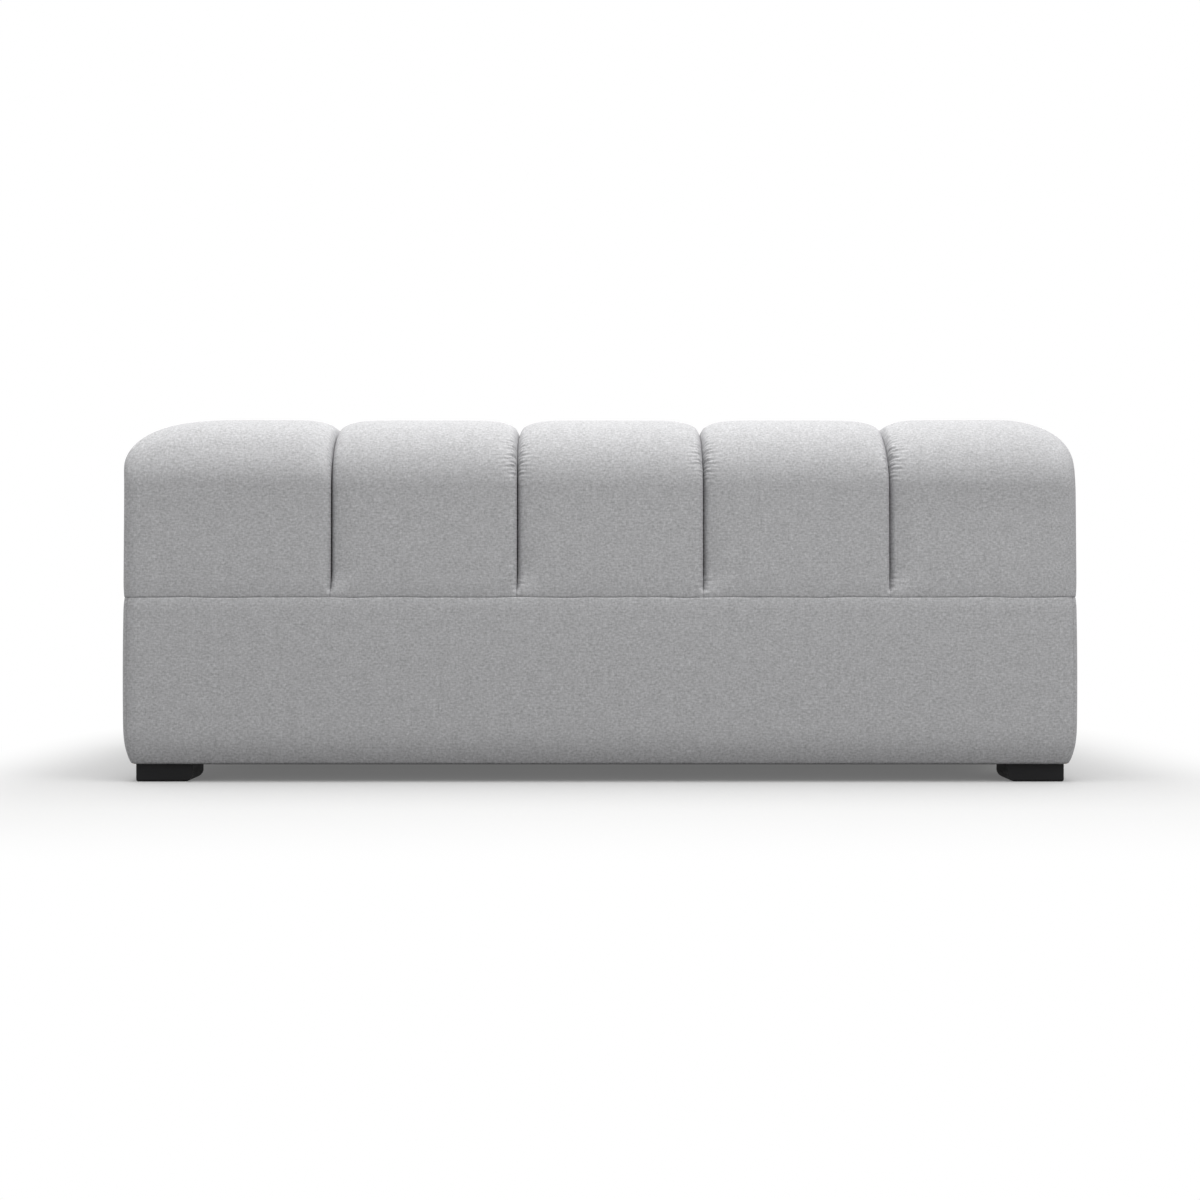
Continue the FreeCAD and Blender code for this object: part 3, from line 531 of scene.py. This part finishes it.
def pucker(strength, seed):
    """A function for the small folds that fan out from a crease: sines along the crease, of two unlike
    lengths, that die away over a few centimetres and are strongest where the section rolls."""

    def folds(gap, run, level):
        place, width = LOW_FOLDS
        everywhere, on_rolls, over_seam = FOLD_SHARES
        rolled = level * (1 - level) * 4
        low_end = np.exp(-((run - place) / width) ** 2)
        wave = sum(share * np.sin(along * run + away * gap + factor * seed)
                   for along, away, factor, share in FOLD_WAVES)
        rise = ramp(gap, 0, FOLD_RISE) * np.exp(-gap / FOLD_REACH)
        return strength * FOLD_HEIGHT * (everywhere + on_rolls * rolled + over_seam * low_end) * wave * rise

    return folds


def sewn(sheet, low, cover, puckers, top, inside):
    """The sheet's points once it is sewn and stuffed: each crease draws it in along its normal by a rounded
    shoulder (a power of the nearness, steeper on the crease's full side) and a tight fold (the nearness
    squared), the stuffing leaves it crowned, and the lower seam tucks its edge in. A crease fades just over
    the seam. top is the share of its depth on top. inside names a crease that runs down an inner corner, and
    the axis that its wall looks back along: there the wall stays flush."""
    normals, height = sheet.normals, sheet.points[..., 2] - low
    crown = stuffed(sheet, cover)
    level = smooth(normals[..., 2])
    fade = FADED + (1 - FADED) * ramp(height, *FOLD_START)
    ease = FADED + (1 - FADED) * ramp(height, *SHOULDER_START)
    draw = np.zeros(height.shape)
    flush = np.ones(height.shape)
    for i, gap in enumerate(sheet.creases):
        near = 1 - np.clip(gap / cover.crease_reach, 0, 1)
        fold = (1 - np.clip(gap / cover.pinch_reach, 0, 1)) ** 2
        full = cover.crease_face[0] * near ** FULL_POWER
        slope = cover.crease_face[1] * near ** SLOPE_POWER
        upright = full if sheet.full[i] else slope
        shoulder = upright + (cover.crease_top * top * near ** SLOPE_POWER - upright) * level
        one = shoulder * ease + cover.pinch_depth * fold * fade
        one = one - puckers[i](gap, sheet.weave[..., 1], level)
        draw = np.maximum(draw, one)
        if i == inside[0]:
            facing = ramp(-normals[..., inside[1]], *FACING_START)
            flush = 1 - facing * (1 - ramp(gap, *FLUSH_REACH))
    turn = np.clip(1 - height / cover.seam_radius, 0, 1)
    pull = (1 - np.clip(height / SEAM_REACH, 0, 1)) ** 2
    tuck = cover.seam_tuck * (1 - np.sqrt(1 - turn ** 2)) + cover.seam_pull * pull
    share = LOW_SLACK + (1 - LOW_SLACK) * ramp(height, 0, SLACK_HEIGHT)
    slack = cover.crown * (1 - crown) * share * (1 - TOP_TAUTNESS * level)
    points = sheet.points - normals * ((draw + slack) * flush + tuck)[..., None]
    points[..., 2] += wander(sheet.points[..., :2], height, cover)
    return points


# Meshes


def slab(name, outer, inner, weave):
    """A closed mesh between two grids of points: both grids as quads, and a strip round their edges."""
    rows, columns = outer.shape[:2]
    count = rows * columns
    at = np.arange(count).reshape(rows, columns)
    front = quads(at)
    edge = np.concatenate([at[:, 0], at[-1, 1:], at[-2::-1, -1], at[0, -2:0:-1]])
    after = np.roll(edge, -1)
    strip = np.stack([after, edge, edge + count, after + count], axis=-1)
    faces = np.concatenate([front, front[:, ::-1] + count, strip])
    points = np.concatenate([outer.reshape(-1, 3), inner.reshape(-1, 3)])
    corner = points[faces]
    if np.einsum("ij,ij->", corner[:, 0], np.cross(corner[:, 1], corner[:, 2])) < 0:
        faces = faces[:, ::-1]
    mesh = bpy.data.meshes.new(name)
    mesh.from_pydata(points.tolist(), [], faces.tolist())
    layer = mesh.uv_layers.new(name="weave")
    flat = np.concatenate([weave.reshape(-1, 2)] * 2)
    layer.uv.foreach_set("vector", flat[faces.ravel()].astype(np.float32).ravel())
    welded = bmesh.new()
    welded.from_mesh(mesh)
    bmesh.ops.remove_doubles(welded, verts=welded.verts, dist=WELD)
    bmesh.ops.dissolve_degenerate(welded, edges=welded.edges, dist=WELD)
    welded.to_mesh(mesh)
    welded.free()
    mesh.shade_smooth()
    return mesh


def add_piece(name, mesh, slot):
    """A piece of the sofa that rides on its body, in the finish of its slot."""
    piece = bpy.data.objects.new(name, mesh)
    bpy.context.scene.collection.objects.link(piece)
    mesh.materials.append(finish_of(slot))
    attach(piece, BODY)
    return piece


def add_pad(node, sheet, low, cover, top=1.0, inside=(None, 0)):
    """The padded piece that stands for a node, from its sheet."""
    level = smooth(sheet.normals[..., 2])[..., None]
    thickness = cover.padding + (cover.top_padding - cover.padding) * level
    seed, strengths = PAD_FOLDS[node]
    puckers = [pucker(strength, seed + i) for i, strength in enumerate(strengths)]
    outer = sewn(sheet, low, cover, puckers, top, inside)
    inner = sheet.points - sheet.normals * thickness
    inner[..., 2] = np.maximum(inner[..., 2], low)
    piece = add_piece(f"cover_{node}", slab(node, outer, inner, sheet.weave), SLOT_OF[node])
    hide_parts(node)


# Finishes


class Socket:
    """An output of a node. Sums, products and powers of sockets and numbers add Math nodes."""

    def __init__(self, paint, output):
        self.paint = paint
        self.output = output

    def maths(self, operation, *values):
        """A Math node of an operation on sockets and numbers."""
        return self.paint.node("ShaderNodeMath", {"operation": operation}, dict(enumerate(values)))

    def __add__(self, other):
        return self.maths("ADD", self, other)

    def __radd__(self, other):
        return self.maths("ADD", other, self)

    def __sub__(self, other):
        return self.maths("SUBTRACT", self, other)

    def __rsub__(self, other):
        return self.maths("SUBTRACT", other, self)

    def __mul__(self, other):
        return self.maths("MULTIPLY", self, other)

    def __rmul__(self, other):
        return self.maths("MULTIPLY", other, self)

    def __pow__(self, other):
        return self.maths("POWER", self, other)

    def sine(self):
        return self.maths("SINE", self)

    def size(self):
        """The value without its sign."""
        return self.maths("ABSOLUTE", self)

    def clipped(self, low, high):
        return self.maths("MINIMUM", self.maths("MAXIMUM", self, low), high)


class Paint:
    """A material or a world whose nodes are added one by one to its first shader."""

    def __init__(self, owner, shader="Principled BSDF"):
        owner.use_nodes = True
        self.owner = owner
        self.tree = owner.node_tree
        self.shader = self.tree.nodes[shader]

    def node(self, kind, settings=None, inputs=None, output=0):
        """A node of a kind: its settings first, then the values or links of its sockets."""
        made = self.tree.nodes.new(kind)
        for name, value in (settings or {}).items():
            setattr(made, name, value)
        for name, value in (inputs or {}).items():
            self.feed(made.inputs[name], value)
        return Socket(self, made.outputs[output])

    def feed(self, socket, value):
        """Gives a node's input a value or a link."""
        if isinstance(value, Socket):
            self.tree.links.new(value.output, socket)
        else:
            socket.default_value = value

    def set(self, **values):
        """Values or links of the shader's sockets, with _ for a space in their names."""
        for name, value in values.items():
            self.feed(self.shader.inputs[name.replace("_", " ")], value)

    def noise(self, place, scale, detail=2.0, roughness=0.5):
        """Smooth noise at a place, from 0 to 1."""
        inputs = {"Vector": place, "Scale": scale, "Detail": detail, "Roughness": roughness}
        return self.node("ShaderNodeTexNoise", {"noise_dimensions": "3D"}, inputs)

    def stretched(self, place, scale):
        """A place with its axes scaled."""
        return self.node("ShaderNodeMapping", {}, {"Vector": place, "Scale": scale})

    def blend(self, factor, first, second):
        """A colour between two colours."""
        settings = {"data_type": "RGBA", "clamp_factor": True}
        return self.node("ShaderNodeMix", settings, {0: factor, 6: first, 7: second}, output=2)

    def bump(self, height, strength, distance):
        """Tilts the shader's normal by the slope of a height."""
        inputs = {"Strength": strength, "Distance": distance, "Height": height}
        self.set(Normal=self.node("ShaderNodeBump", {}, inputs))

    def object_place(self):
        """The place in Object coordinates, which are the frame's."""
        return self.node("ShaderNodeTexCoord", output="Object")

    def sides(self, place):
        """The first two coordinates of a place."""
        return [self.node("ShaderNodeSeparateXYZ", {}, {"Vector": place}, output=side) for side in (0, 1)]

    def seen(self):
        """1 for rays from the camera, a reflection or a clear piece, and 0 for the light's other rays."""
        names = ("Is Camera Ray", "Is Glossy Ray", "Is Transmission Ray")
        camera, glossy, clear = (self.node("ShaderNodeLightPath", output=name) for name in names)
        return (camera + glossy + clear).clipped(0.0, 1.0)

    def mixed(self, factor, first, second):
        """A shader between two shaders."""
        return self.node("ShaderNodeMixShader", {}, {0: factor, 1: first, 2: second})

    def shaded(self):
        """What the first shader gives."""
        return Socket(self, self.shader.outputs[0])

    def show(self, shader, output):
        """Links a shader to the output node."""
        self.feed(self.tree.nodes[output].inputs["Surface"], shader)


def shade(colour, factor):
    """A colour times a factor, with full opacity."""
    return (*(channel * factor for channel in colour), 1.0)


def cover_cloth(paint, colour):
    """Woven melange: fine threads both ways over flecks that run along the threads."""
    weave = paint.node("ShaderNodeUVMap", {"uv_map": "weave"})
    weft = paint.noise(paint.stretched(weave, (155.0, 330.0, 1.0)), 1.0, 2.0, 0.5)
    warp = paint.noise(paint.stretched(weave, (370.0, 170.0, 1.0)), 1.0, 2.0, 0.5)
    cloud = paint.noise(weave, 45.0, 3.0)
    across, along = paint.sides(weave)
    turn = 2 * math.pi / THREAD_PITCH
    threads = (across * turn).sine() * (along * turn).sine()
    fleck = weft * 0.50 + warp * 0.36 + cloud * 0.14
    tone = ((fleck - 0.5) * 2.2 + threads * 0.05 + 0.5).clipped(0.0, 1.0)
    paint.set(Base_Color=paint.blend(tone, shade(colour, 0.62), shade(colour, 1.38)))
    paint.set(Roughness=0.92 - tone * 0.08)
    paint.set(Sheen_Weight=0.06, Sheen_Roughness=0.45, Specular_IOR_Level=0.2)
    paint.bump(fleck * 0.8 + threads * 0.2, 0.2, 0.0006)


def dust_cloth(paint, colour):
    """Black spunbond: matted fibres with a fine grid of pressed dots."""
    place = paint.object_place()
    fibres = paint.noise(place, 420.0, 4.0)
    across, along = paint.sides(place)
    dots = (across * 1400.0).sine() * (along * 1400.0).sine()
    paint.set(Base_Color=paint.blend(fibres, shade(colour, 0.5), shade(colour, 1.6)))
    paint.set(Roughness=0.95 - fibres * 0.15)
    paint.bump(fibres + dots * 0.4, 0.3, 0.001)


def webbing(paint, colour):
    """Elastic webbing: ribs across the strap under a faint mottle."""
    place = paint.object_place()
    mottle = paint.noise(place, 300.0, 3.0)
    across, along = paint.sides(place)
    ribs = (across * 1600.0).sine() + (along * 1600.0).sine()
    tone = (mottle + ribs * 0.15).clipped(0.0, 1.0)
    paint.set(Base_Color=paint.blend(tone, shade(colour, 0.6), shade(colour, 1.5)))
    paint.set(Roughness=0.9 - mottle * 0.1)
    paint.bump(ribs * 0.3 + mottle, 0.3, 0.001)


def felt(paint, colour):
    """Pressed felt: tangled fibres of mixed greys."""
    place = paint.object_place()
    fibres = paint.noise(place, 240.0, 6.0, 0.65)
    paint.set(Base_Color=paint.blend(fibres, shade(colour, 0.55), shade(colour, 1.35)))
    paint.set(Roughness=0.95 - fibres * 0.1)
    paint.bump(fibres, 0.4, 0.001)


def foam(paint, colour):
    """Cut foam: fine open cells in a cream body."""
    place = paint.object_place()
    cells = paint.node("ShaderNodeTexVoronoi", {}, {"Vector": place, "Scale": 700.0})
    tint = paint.noise(place, 6.0, 2.0)
    tone = (cells * 0.8 + tint * 0.4).clipped(0.0, 1.0)
    paint.set(Base_Color=paint.blend(tone, shade(colour, 0.78), shade(colour, 1.08)))
    paint.set(Roughness=0.95 - tint * 0.1)
    paint.bump(cells, 0.4, 0.001)


def foot_plastic(paint, colour):
    """Near-black moulded plastic with a fine grain and faint scuffs."""
    place = paint.object_place()
    grain = paint.noise(place, 900.0, 2.0)
    scuffs = paint.noise(paint.stretched(place, (30.0, 30.0, 160.0)), 1.0, 4.0)
    paint.set(Base_Color=paint.blend(scuffs, shade(colour, 0.60), shade(colour, 1.10)))
    paint.set(Roughness=0.45 + scuffs * 0.22, Specular_IOR_Level=0.15)
    paint.bump(grain, 0.15, 0.0006)


def zinc_steel(paint, colour):
    """Zinc-plated steel: a cloudy passivated skin over fine rolling marks."""
    place = paint.object_place()
    cloud = paint.noise(place, 60.0, 4.0)
    marks = paint.noise(paint.stretched(place, (900.0, 60.0, 900.0)), 1.0, 2.0)
    paint.set(Base_Color=paint.blend(cloud, shade(colour, 0.85), (0.66, 0.66, 0.62, 1.0)))
    paint.set(Metallic=1.0, Roughness=0.28 + cloud * 0.2 + marks * 0.08)
    paint.bump(marks, 0.08, 0.0005)


def timber(paint, colour, ring_scale, contrast):
    """Timber grain: rings stretched along the boards, with fine pores."""
    place = paint.object_place()
    drift = paint.noise(paint.stretched(place, (2.0, 2.0, 9.0)), 1.0, 3.0)
    rings = ((drift * ring_scale).sine() + 1.0) * 0.5
    pores = paint.noise(paint.stretched(place, (40.0, 40.0, 420.0)), 1.0, 3.0)
    tone = (rings * contrast + pores * (1.0 - contrast)).clipped(0.0, 1.0)
    paint.set(Base_Color=paint.blend(tone, shade(colour, 0.72), shade(colour, 1.15)))
    paint.set(Roughness=0.6 + pores * 0.2)
    paint.bump(pores, 0.2, 0.0008)


def hardboard(paint, colour):
    """Pressed board: short brown fibres, mottled."""
    place = paint.object_place()
    fibres = paint.noise(place, 320.0, 5.0, 0.7)
    paint.set(Base_Color=paint.blend(fibres, shade(colour, 0.6), shade(colour, 1.4)))
    paint.set(Roughness=0.7 + fibres * 0.15)
    paint.bump(fibres, 0.2, 0.0008)


def pine(paint, colour):
    """Planed softwood, with wide rings."""
    timber(paint, colour, 60.0, 0.65)


def plywood(paint, colour):
    """Sanded plywood, with a calm face grain."""
    timber(paint, colour, 34.0, 0.45)


FINISHES = {
    "cover_fabric": cover_cloth, "dust_cloth": dust_cloth, "webbing": webbing, "felt": felt, "foam": foam,
    "foot_plastic": foot_plastic, "zinc_steel": zinc_steel, "hardboard": hardboard, "plywood": plywood,
    "pine": pine,
}


def finish_of(slot):
    """The material of one of the record's slots, made when it is first asked for."""
    made = bpy.data.materials.get(f"sofa_{slot}")
    if made is None:
        record = next(m for m in frame["record"]["materials"] if m["slot"] == slot)
        paint = Paint(bpy.data.materials.new(f"sofa_{slot}"))
        is_cover = slot == "cover_fabric"
        colour = tuple(bpy.context.scene.sofa_cover.colour) if is_cover else record["base_color"]
        FINISHES[slot](paint, colour)
        made = paint.owner
    return made


def dress(nodes):
    """Gives CAD nodes that stay in view the finish of their slot."""
    for node in nodes:
        materials = frame["nodes"][node].data.materials
        materials.clear()
        materials.append(finish_of(SLOT_OF[node]))


# Pads


def arm_span():
    """The arm's outer and inner faces, its front and the line where it meets the back."""
    low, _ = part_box("arm_pad_2")
    corner_low, corner_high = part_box("corner_pad")
    return corner_high.x, corner_low.x, low.y, corner_low.y


def crease_lines(channels):
    """Where the channels of the back or the seat begin and end along X, from the arm to the open end."""
    boxes = [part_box(node) for node in channels]
    middles = [(high.x + low.x) / 2 for (low, _), (_, high) in zip(boxes[:-1], boxes[1:])]
    return [boxes[0][1].x, *middles, boxes[-1][0].x]


class SOFA_OT_back_pads(bpy.types.Operator):
    """Channels of the back, from the arm's corner to the rolled open end"""

    bl_idname = "sofa.back_pads"
    bl_label = "Back Pads"

    def execute(self, context):
        cover = context.scene.sofa_cover
        low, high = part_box(BACK_CHANNELS[0])
        rolls = (tuple(cover.rear_roll), (cover.inner_roll, cover.inner_roll))
        arch = Arch(high.y, low.y, low.z, high.z, *rolls)
        lines = crease_lines(BACK_CHANNELS)
        for node, right, left in zip(BACK_CHANNELS, lines[:-2], lines[1:-1]):
            sheet = channel_sheet(arch, left, right, "x")
            inside = (1, 1) if node == BACK_CHANNELS[0] else (None, 0)
            add_pad(node, sheet, low.z, cover, inside=inside)
        sheet = rolled_sheet(arch, lines[-1], lines[-2], "x", tuple(cover.end_roll), cover.corner_radius)
        add_pad(BACK_CHANNELS[-1], sheet, low.z, cover)
        return {"FINISHED"}


class SOFA_OT_corner_pad(bpy.types.Operator):
    """The block where the back meets the arm"""

    bl_idname = "sofa.corner_pad"
    bl_label = "Corner Pad"

    def execute(self, context):
        cover = context.scene.sofa_cover
        low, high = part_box("corner_pad")
        inner = (crease_lines(BACK_CHANNELS)[0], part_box(BACK_CHANNELS[0])[0].y)
        sheet = corner_sheet(inner, (high.x, high.y), low.z, high.z, tuple(cover.rear_roll),
                             tuple(cover.arm_roll), cover.inner_roll, cover.corner_radius)
        add_pad("corner_pad", sheet, low.z, cover)
        return {"FINISHED"}


class SOFA_OT_arm_pads(bpy.types.Operator):
    """The arm's channels, from the corner to the rounded front"""

    bl_idname = "sofa.arm_pads"
    bl_label = "Arm Pads"

    def execute(self, context):
        cover = context.scene.sofa_cover
        low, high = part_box("arm_pad_1")
        outer, inner, front, rear = arm_span()
        middle = (low.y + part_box("arm_pad_2")[1].y) / 2
        rolls = (tuple(cover.arm_roll), (cover.inner_roll, cover.inner_roll))
        arch = Arch(outer, inner, low.z, high.z, *rolls)
        sheet = channel_sheet(arch, middle, rear, "y")
        add_pad("arm_pad_1", sheet, low.z, cover, inside=(1, 0))
        roll = (cover.arm_front_roll, cover.arm_front_roll)
        sheet = rolled_sheet(arch, front, middle, "y", roll, cover.arm_front_roll)
        add_pad("arm_pad_2", sheet, low.z, cover)
        return {"FINISHED"}


class SOFA_OT_seat_pads(bpy.types.Operator):
    """Channels of the seat, which roll over the front edge and the open end"""

    bl_idname = "sofa.seat_pads"
    bl_label = "Seat Pads"

    def execute(self, context):
        cover = context.scene.sofa_cover
        low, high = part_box(SEAT_CHANNELS[0])
        seat_roll = (cover.seat_roll, cover.seat_roll)
        arch = Arch(high.y, low.y, low.z, high.z, SEAT_REAR_ROLL, seat_roll)
        lines = crease_lines(SEAT_CHANNELS)
        for node, right, left in zip(SEAT_CHANNELS, lines[:-2], lines[1:-1]):
            sheet = channel_sheet(arch, left, right, "x")
            add_pad(node, sheet, low.z, cover, SEAT_CREASE_SHARE)
        sheet = rolled_sheet(arch, lines[-1], lines[-2], "x", seat_roll, cover.corner_radius)
        add_pad(SEAT_CHANNELS[-1], sheet, low.z, cover, SEAT_CREASE_SHARE)
        return {"FINISHED"}


# Band


def band_sheet(start, end, along, outward, low, high, cover):
    """One side of the band: half a corner's arc, a straight run and half an arc, and across it a section
    that runs out under the hem, round its edge, and up the face with a slow bulge to a tucked seam. The hem
    leans in by the cube of its nearness."""
    radius = cover.corner_radius
    start, end = np.array(start), np.array(end)
    along, outward = np.array(along), np.array(outward)
    length = np.linalg.norm(end - start)
    bend = np.linspace(-np.pi / 4, 0, BAND_BEND_SAMPLES)
    run = np.linspace(radius, length - radius, BAND_RUN_SAMPLES)[1:-1]
    first = radius * (1 + np.sin(bend))
    place = np.concatenate([first, run, length - first[::-1]])
    inset = np.concatenate([radius * (1 - np.cos(bend)), 0 * run, radius * (1 - np.cos(bend[::-1]))])
    lean = np.concatenate([np.sin(bend), 0 * run, -np.sin(bend[::-1])])
    normal = lean[:, None] * along + np.sqrt(1 - lean ** 2)[:, None] * outward
    line = start + place[:, None] * along - inset[:, None] * outward
    turn = np.linspace(0, np.pi / 2, BAND_BEND_SAMPLES)
    up = high - low - BAND_EDGE
    rise = eased_both(up, BAND_RISE_SAMPLES)
    bulge = BAND_BULGE * np.sin(np.pi * rise[1:] / up) ** BULGE_POWER - BAND_INSET
    offset = np.concatenate([[-BAND_LIP], BAND_EDGE * (np.sin(turn) - 1) - BAND_INSET, bulge])
    z = np.concatenate([[low], low + BAND_EDGE * (1 - np.cos(turn)), low + BAND_EDGE + rise[1:]])
    closing = np.clip(1 - (high - z) / (cover.seam_radius * BAND_RADIUS_SHARE), 0, 1)
    offset = offset - cover.seam_tuck * BAND_TUCK_SHARE * (1 - np.sqrt(1 - closing ** 2))
    offset = offset - cover.seam_pull * (1 - np.clip((high - z) / BAND_SEAM_REACH, 0, 1)) ** 2
    offset[1:] -= cover.hem_pull * (1 - np.clip((z[1:] - low) / HEM_REACH, 0, 1)) ** 3
    end_gap = np.minimum(place - place[0], place[-1] - place)
    depth, reach = CORNER_SEAM
    seam = depth * (1 - np.clip(end_gap / reach, 0, 1)) ** 2
    outer = np.empty((place.size, z.size, 3))
    shift = offset[None, :] - seam[:, None]
    outer[..., :2] = line[:, None, :] + normal[:, None, :] * shift[..., None]
    outer[..., 2] = z + wander(line[:, None, :], high - z, cover)
    inner = outer.copy()
    inner[..., :2] = (line - normal * BAND_DEPTH)[:, None, :]
    weave = np.stack(np.broadcast_arrays((start @ along + place)[:, None], z), axis=-1)
    return outer, inner, weave


class SOFA_OT_band(bpy.types.Operator):
    """The plain band round the base, in four sides that meet at the corners"""

    bl_idname = "sofa.band"
    bl_label = "Band"

    def execute(self, context):
        cover = context.scene.sofa_cover
        low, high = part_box("band_rear")
        x0, x1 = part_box("band_open_end")[0].x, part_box("band_arm_end")[1].x
        y0, y1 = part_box("band_front")[0].y, high.y
        sides = {
            "band_front": ((x0, y0), (x1, y0), (1, 0), (0, -1)),
            "band_arm_end": ((x1, y0), (x1, y1), (0, 1), (1, 0)),
            "band_rear": ((x1, y1), (x0, y1), (-1, 0), (0, 1)),
            "band_open_end": ((x0, y1), (x0, y0), (0, -1), (-1, 0)),
        }
        for node, (start, end, along, outward) in sides.items():
            grids = band_sheet(start, end, along, outward, low.z, high.z, cover)
            piece = add_piece(f"cover_{node}", slab(node, *grids), SLOT_OF[node])
            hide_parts(node)
        return {"FINISHED"}


# Kept nodes


class SOFA_OT_underside(bpy.types.Operator):
    """Finishes of the feet, the dust cover, the swing hooks and their screws"""

    bl_idname = "sofa.underside"
    bl_label = "Feet and Underside"

    def execute(self, context):
        shown = ("foot_plastic", "zinc_steel", "dust_cloth")
        dress([node for node, slot in SLOT_OF.items() if slot in shown])
        return {"FINISHED"}


class SOFA_OT_inner_frame(bpy.types.Operator):
    """Finishes of the timber frames, the webbing, the felt and the foam"""

    bl_idname = "sofa.inner_frame"
    bl_label = "Inner Frame"

    def execute(self, context):
        inside = ("pine", "plywood", "hardboard", "webbing", "felt", "foam")
        dress([node for node, slot in SLOT_OF.items() if slot in inside])
        return {"FINISHED"}


# Stage


def add_softbox(name, place, target, size, power, colour):
    """A square lamp that faces a point."""
    lamp = bpy.data.lights.new(name, "AREA")
    lamp.size = size
    lamp.energy = power
    lamp.color = colour
    holder = bpy.data.objects.new(name, lamp)
    holder.location = place
    aim = (holder.location - Vector(target)).to_track_quat("Z", "Y")
    holder.rotation_euler = aim.to_euler()
    bpy.context.scene.collection.objects.link(holder)


def add_camera(stage):
    """A level camera behind the sofa, looking along -Y."""
    lens = bpy.data.cameras.new("camera")
    lens.sensor_width = 36.0
    lens.lens = lens.sensor_width * stage.distance / stage.width
    eye = bpy.data.objects.new("camera", lens)
    eye.location = (0.0, CAD_BOX[1].y + stage.distance, stage.height)
    eye.rotation_euler = (math.pi / 2, 0.0, math.pi)
    bpy.context.scene.collection.objects.link(eye)
    bpy.context.scene.camera = eye


def add_floor(stage):
    """A wide pale floor, white to the camera and in reflections. It keeps the sofa's shadow, turns to plain
    white away from the sofa, and is clear from below."""
    mesh = bpy.data.meshes.new("floor")
    corners = [(x * FLOOR_HALF, y * FLOOR_HALF, 0.0) for x, y in ((-1, -1), (1, -1), (1, 1), (-1, 1))]
    mesh.from_pydata(corners, [], [(0, 1, 2, 3)])
    floor = bpy.data.objects.new("floor", mesh)
    bpy.context.scene.collection.objects.link(floor)
    paint = Paint(bpy.data.materials.new("stage_floor"))
    seen = paint.seen()
    paint.set(Base_Color=paint.blend(seen, shade(stage.floor, FLOOR_BOUNCE), shade(stage.floor, 1.0)))
    paint.set(Roughness=1.0, Specular_IOR_Level=0.0)
    reaches = (CAD_BOX[1].x, CAD_BOX[1].y)
    sides = zip(paint.sides(paint.object_place()), reaches)
    aside, behind = ((side.size() - reach).clipped(0.0, FLOOR_HALF) for side, reach in sides)
    away = (aside * aside * FLOOR_SIDE_WEIGHT + behind * behind) ** 0.5
    limits = {"Value": away, "From Min": FLOOR_FADE[0], "From Max": FLOOR_FADE[1],
              "To Min": stage.shadow_lift, "To Max": 1.0}
    plain = seen * paint.node("ShaderNodeMapRange", {"interpolation_type": "SMOOTHSTEP"}, limits)
    white = paint.node("ShaderNodeEmission", {}, {"Color": WHITE, "Strength": 1.0})
    above = paint.mixed(plain, paint.shaded(), white)
    below = paint.node("ShaderNodeNewGeometry", output="Backfacing")
    clear = paint.node("ShaderNodeBsdfTransparent")
    paint.show(paint.mixed(below, above, clear), "Material Output")
    mesh.materials.append(paint.owner)


def add_room(stage):
    """Even light from all around, seen as white by the camera and in reflections."""
    world = bpy.data.worlds.new("room")
    paint = Paint(world, "Background")
    paint.set(Color=WHITE, Strength=stage.sky)
    white = paint.node("ShaderNodeBackground", {}, {"Color": WHITE, "Strength": 1.0})
    paint.show(paint.mixed(paint.seen(), paint.shaded(), white), "World Output")
    bpy.context.scene.world = world


class SOFA_OT_stage(bpy.types.Operator):
    """The floor, the lights and the camera"""

    bl_idname = "sofa.stage"
    bl_label = "Stage"

    def execute(self, context):
        stage = context.scene.sofa_stage
        add_camera(stage)
        add_floor(stage)
        add_room(stage)
        add_softbox("softbox", place=(0.15, 0.1, 3.0), target=(0.15, 0.1, 0.3), size=3.2,
                    power=stage.key, colour=(1.0, 0.995, 0.985))
        add_softbox("side_light", place=(-2.2, 2.6, 3.0), target=(-0.2, 0.5, 0.4), size=2.0,
                    power=stage.fill, colour=WHITE[:3])
        context.scene.view_settings.view_transform = "Standard"
        return {"FINISHED"}


# Panel and registration


class SOFA_PT_panel(bpy.types.Panel):
    """Lists the steps that dress the sofa"""

    bl_idname = "SOFA_PT_panel"
    bl_label = "Sofa Module"
    bl_space_type = "VIEW_3D"
    bl_region_type = "UI"
    bl_category = "Sofa"

    def draw(self, context):
        for step in STEPS:
            self.layout.operator(step.bl_idname)


STEPS = (
    SOFA_OT_back_pads, SOFA_OT_corner_pad, SOFA_OT_arm_pads, SOFA_OT_seat_pads, SOFA_OT_band,
    SOFA_OT_underside, SOFA_OT_inner_frame, SOFA_OT_stage,
)
CLASSES = (SofaCoverSettings, SofaStageSettings, *STEPS, SOFA_PT_panel)


def register():
    for kind in CLASSES:
        bpy.utils.register_class(kind)
    bpy.types.Scene.sofa_cover = bpy.props.PointerProperty(type=SofaCoverSettings)
    bpy.types.Scene.sofa_stage = bpy.props.PointerProperty(type=SofaStageSettings)


def unregister():
    del bpy.types.Scene.sofa_stage
    del bpy.types.Scene.sofa_cover
    for kind in reversed(CLASSES):
        bpy.utils.unregister_class(kind)


def main():
    """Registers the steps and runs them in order."""
    register()
    for step in STEPS:
        group, name = step.bl_idname.split(".")
        getattr(getattr(bpy.ops, group), name)()


if __name__ == "__main__":
    main()
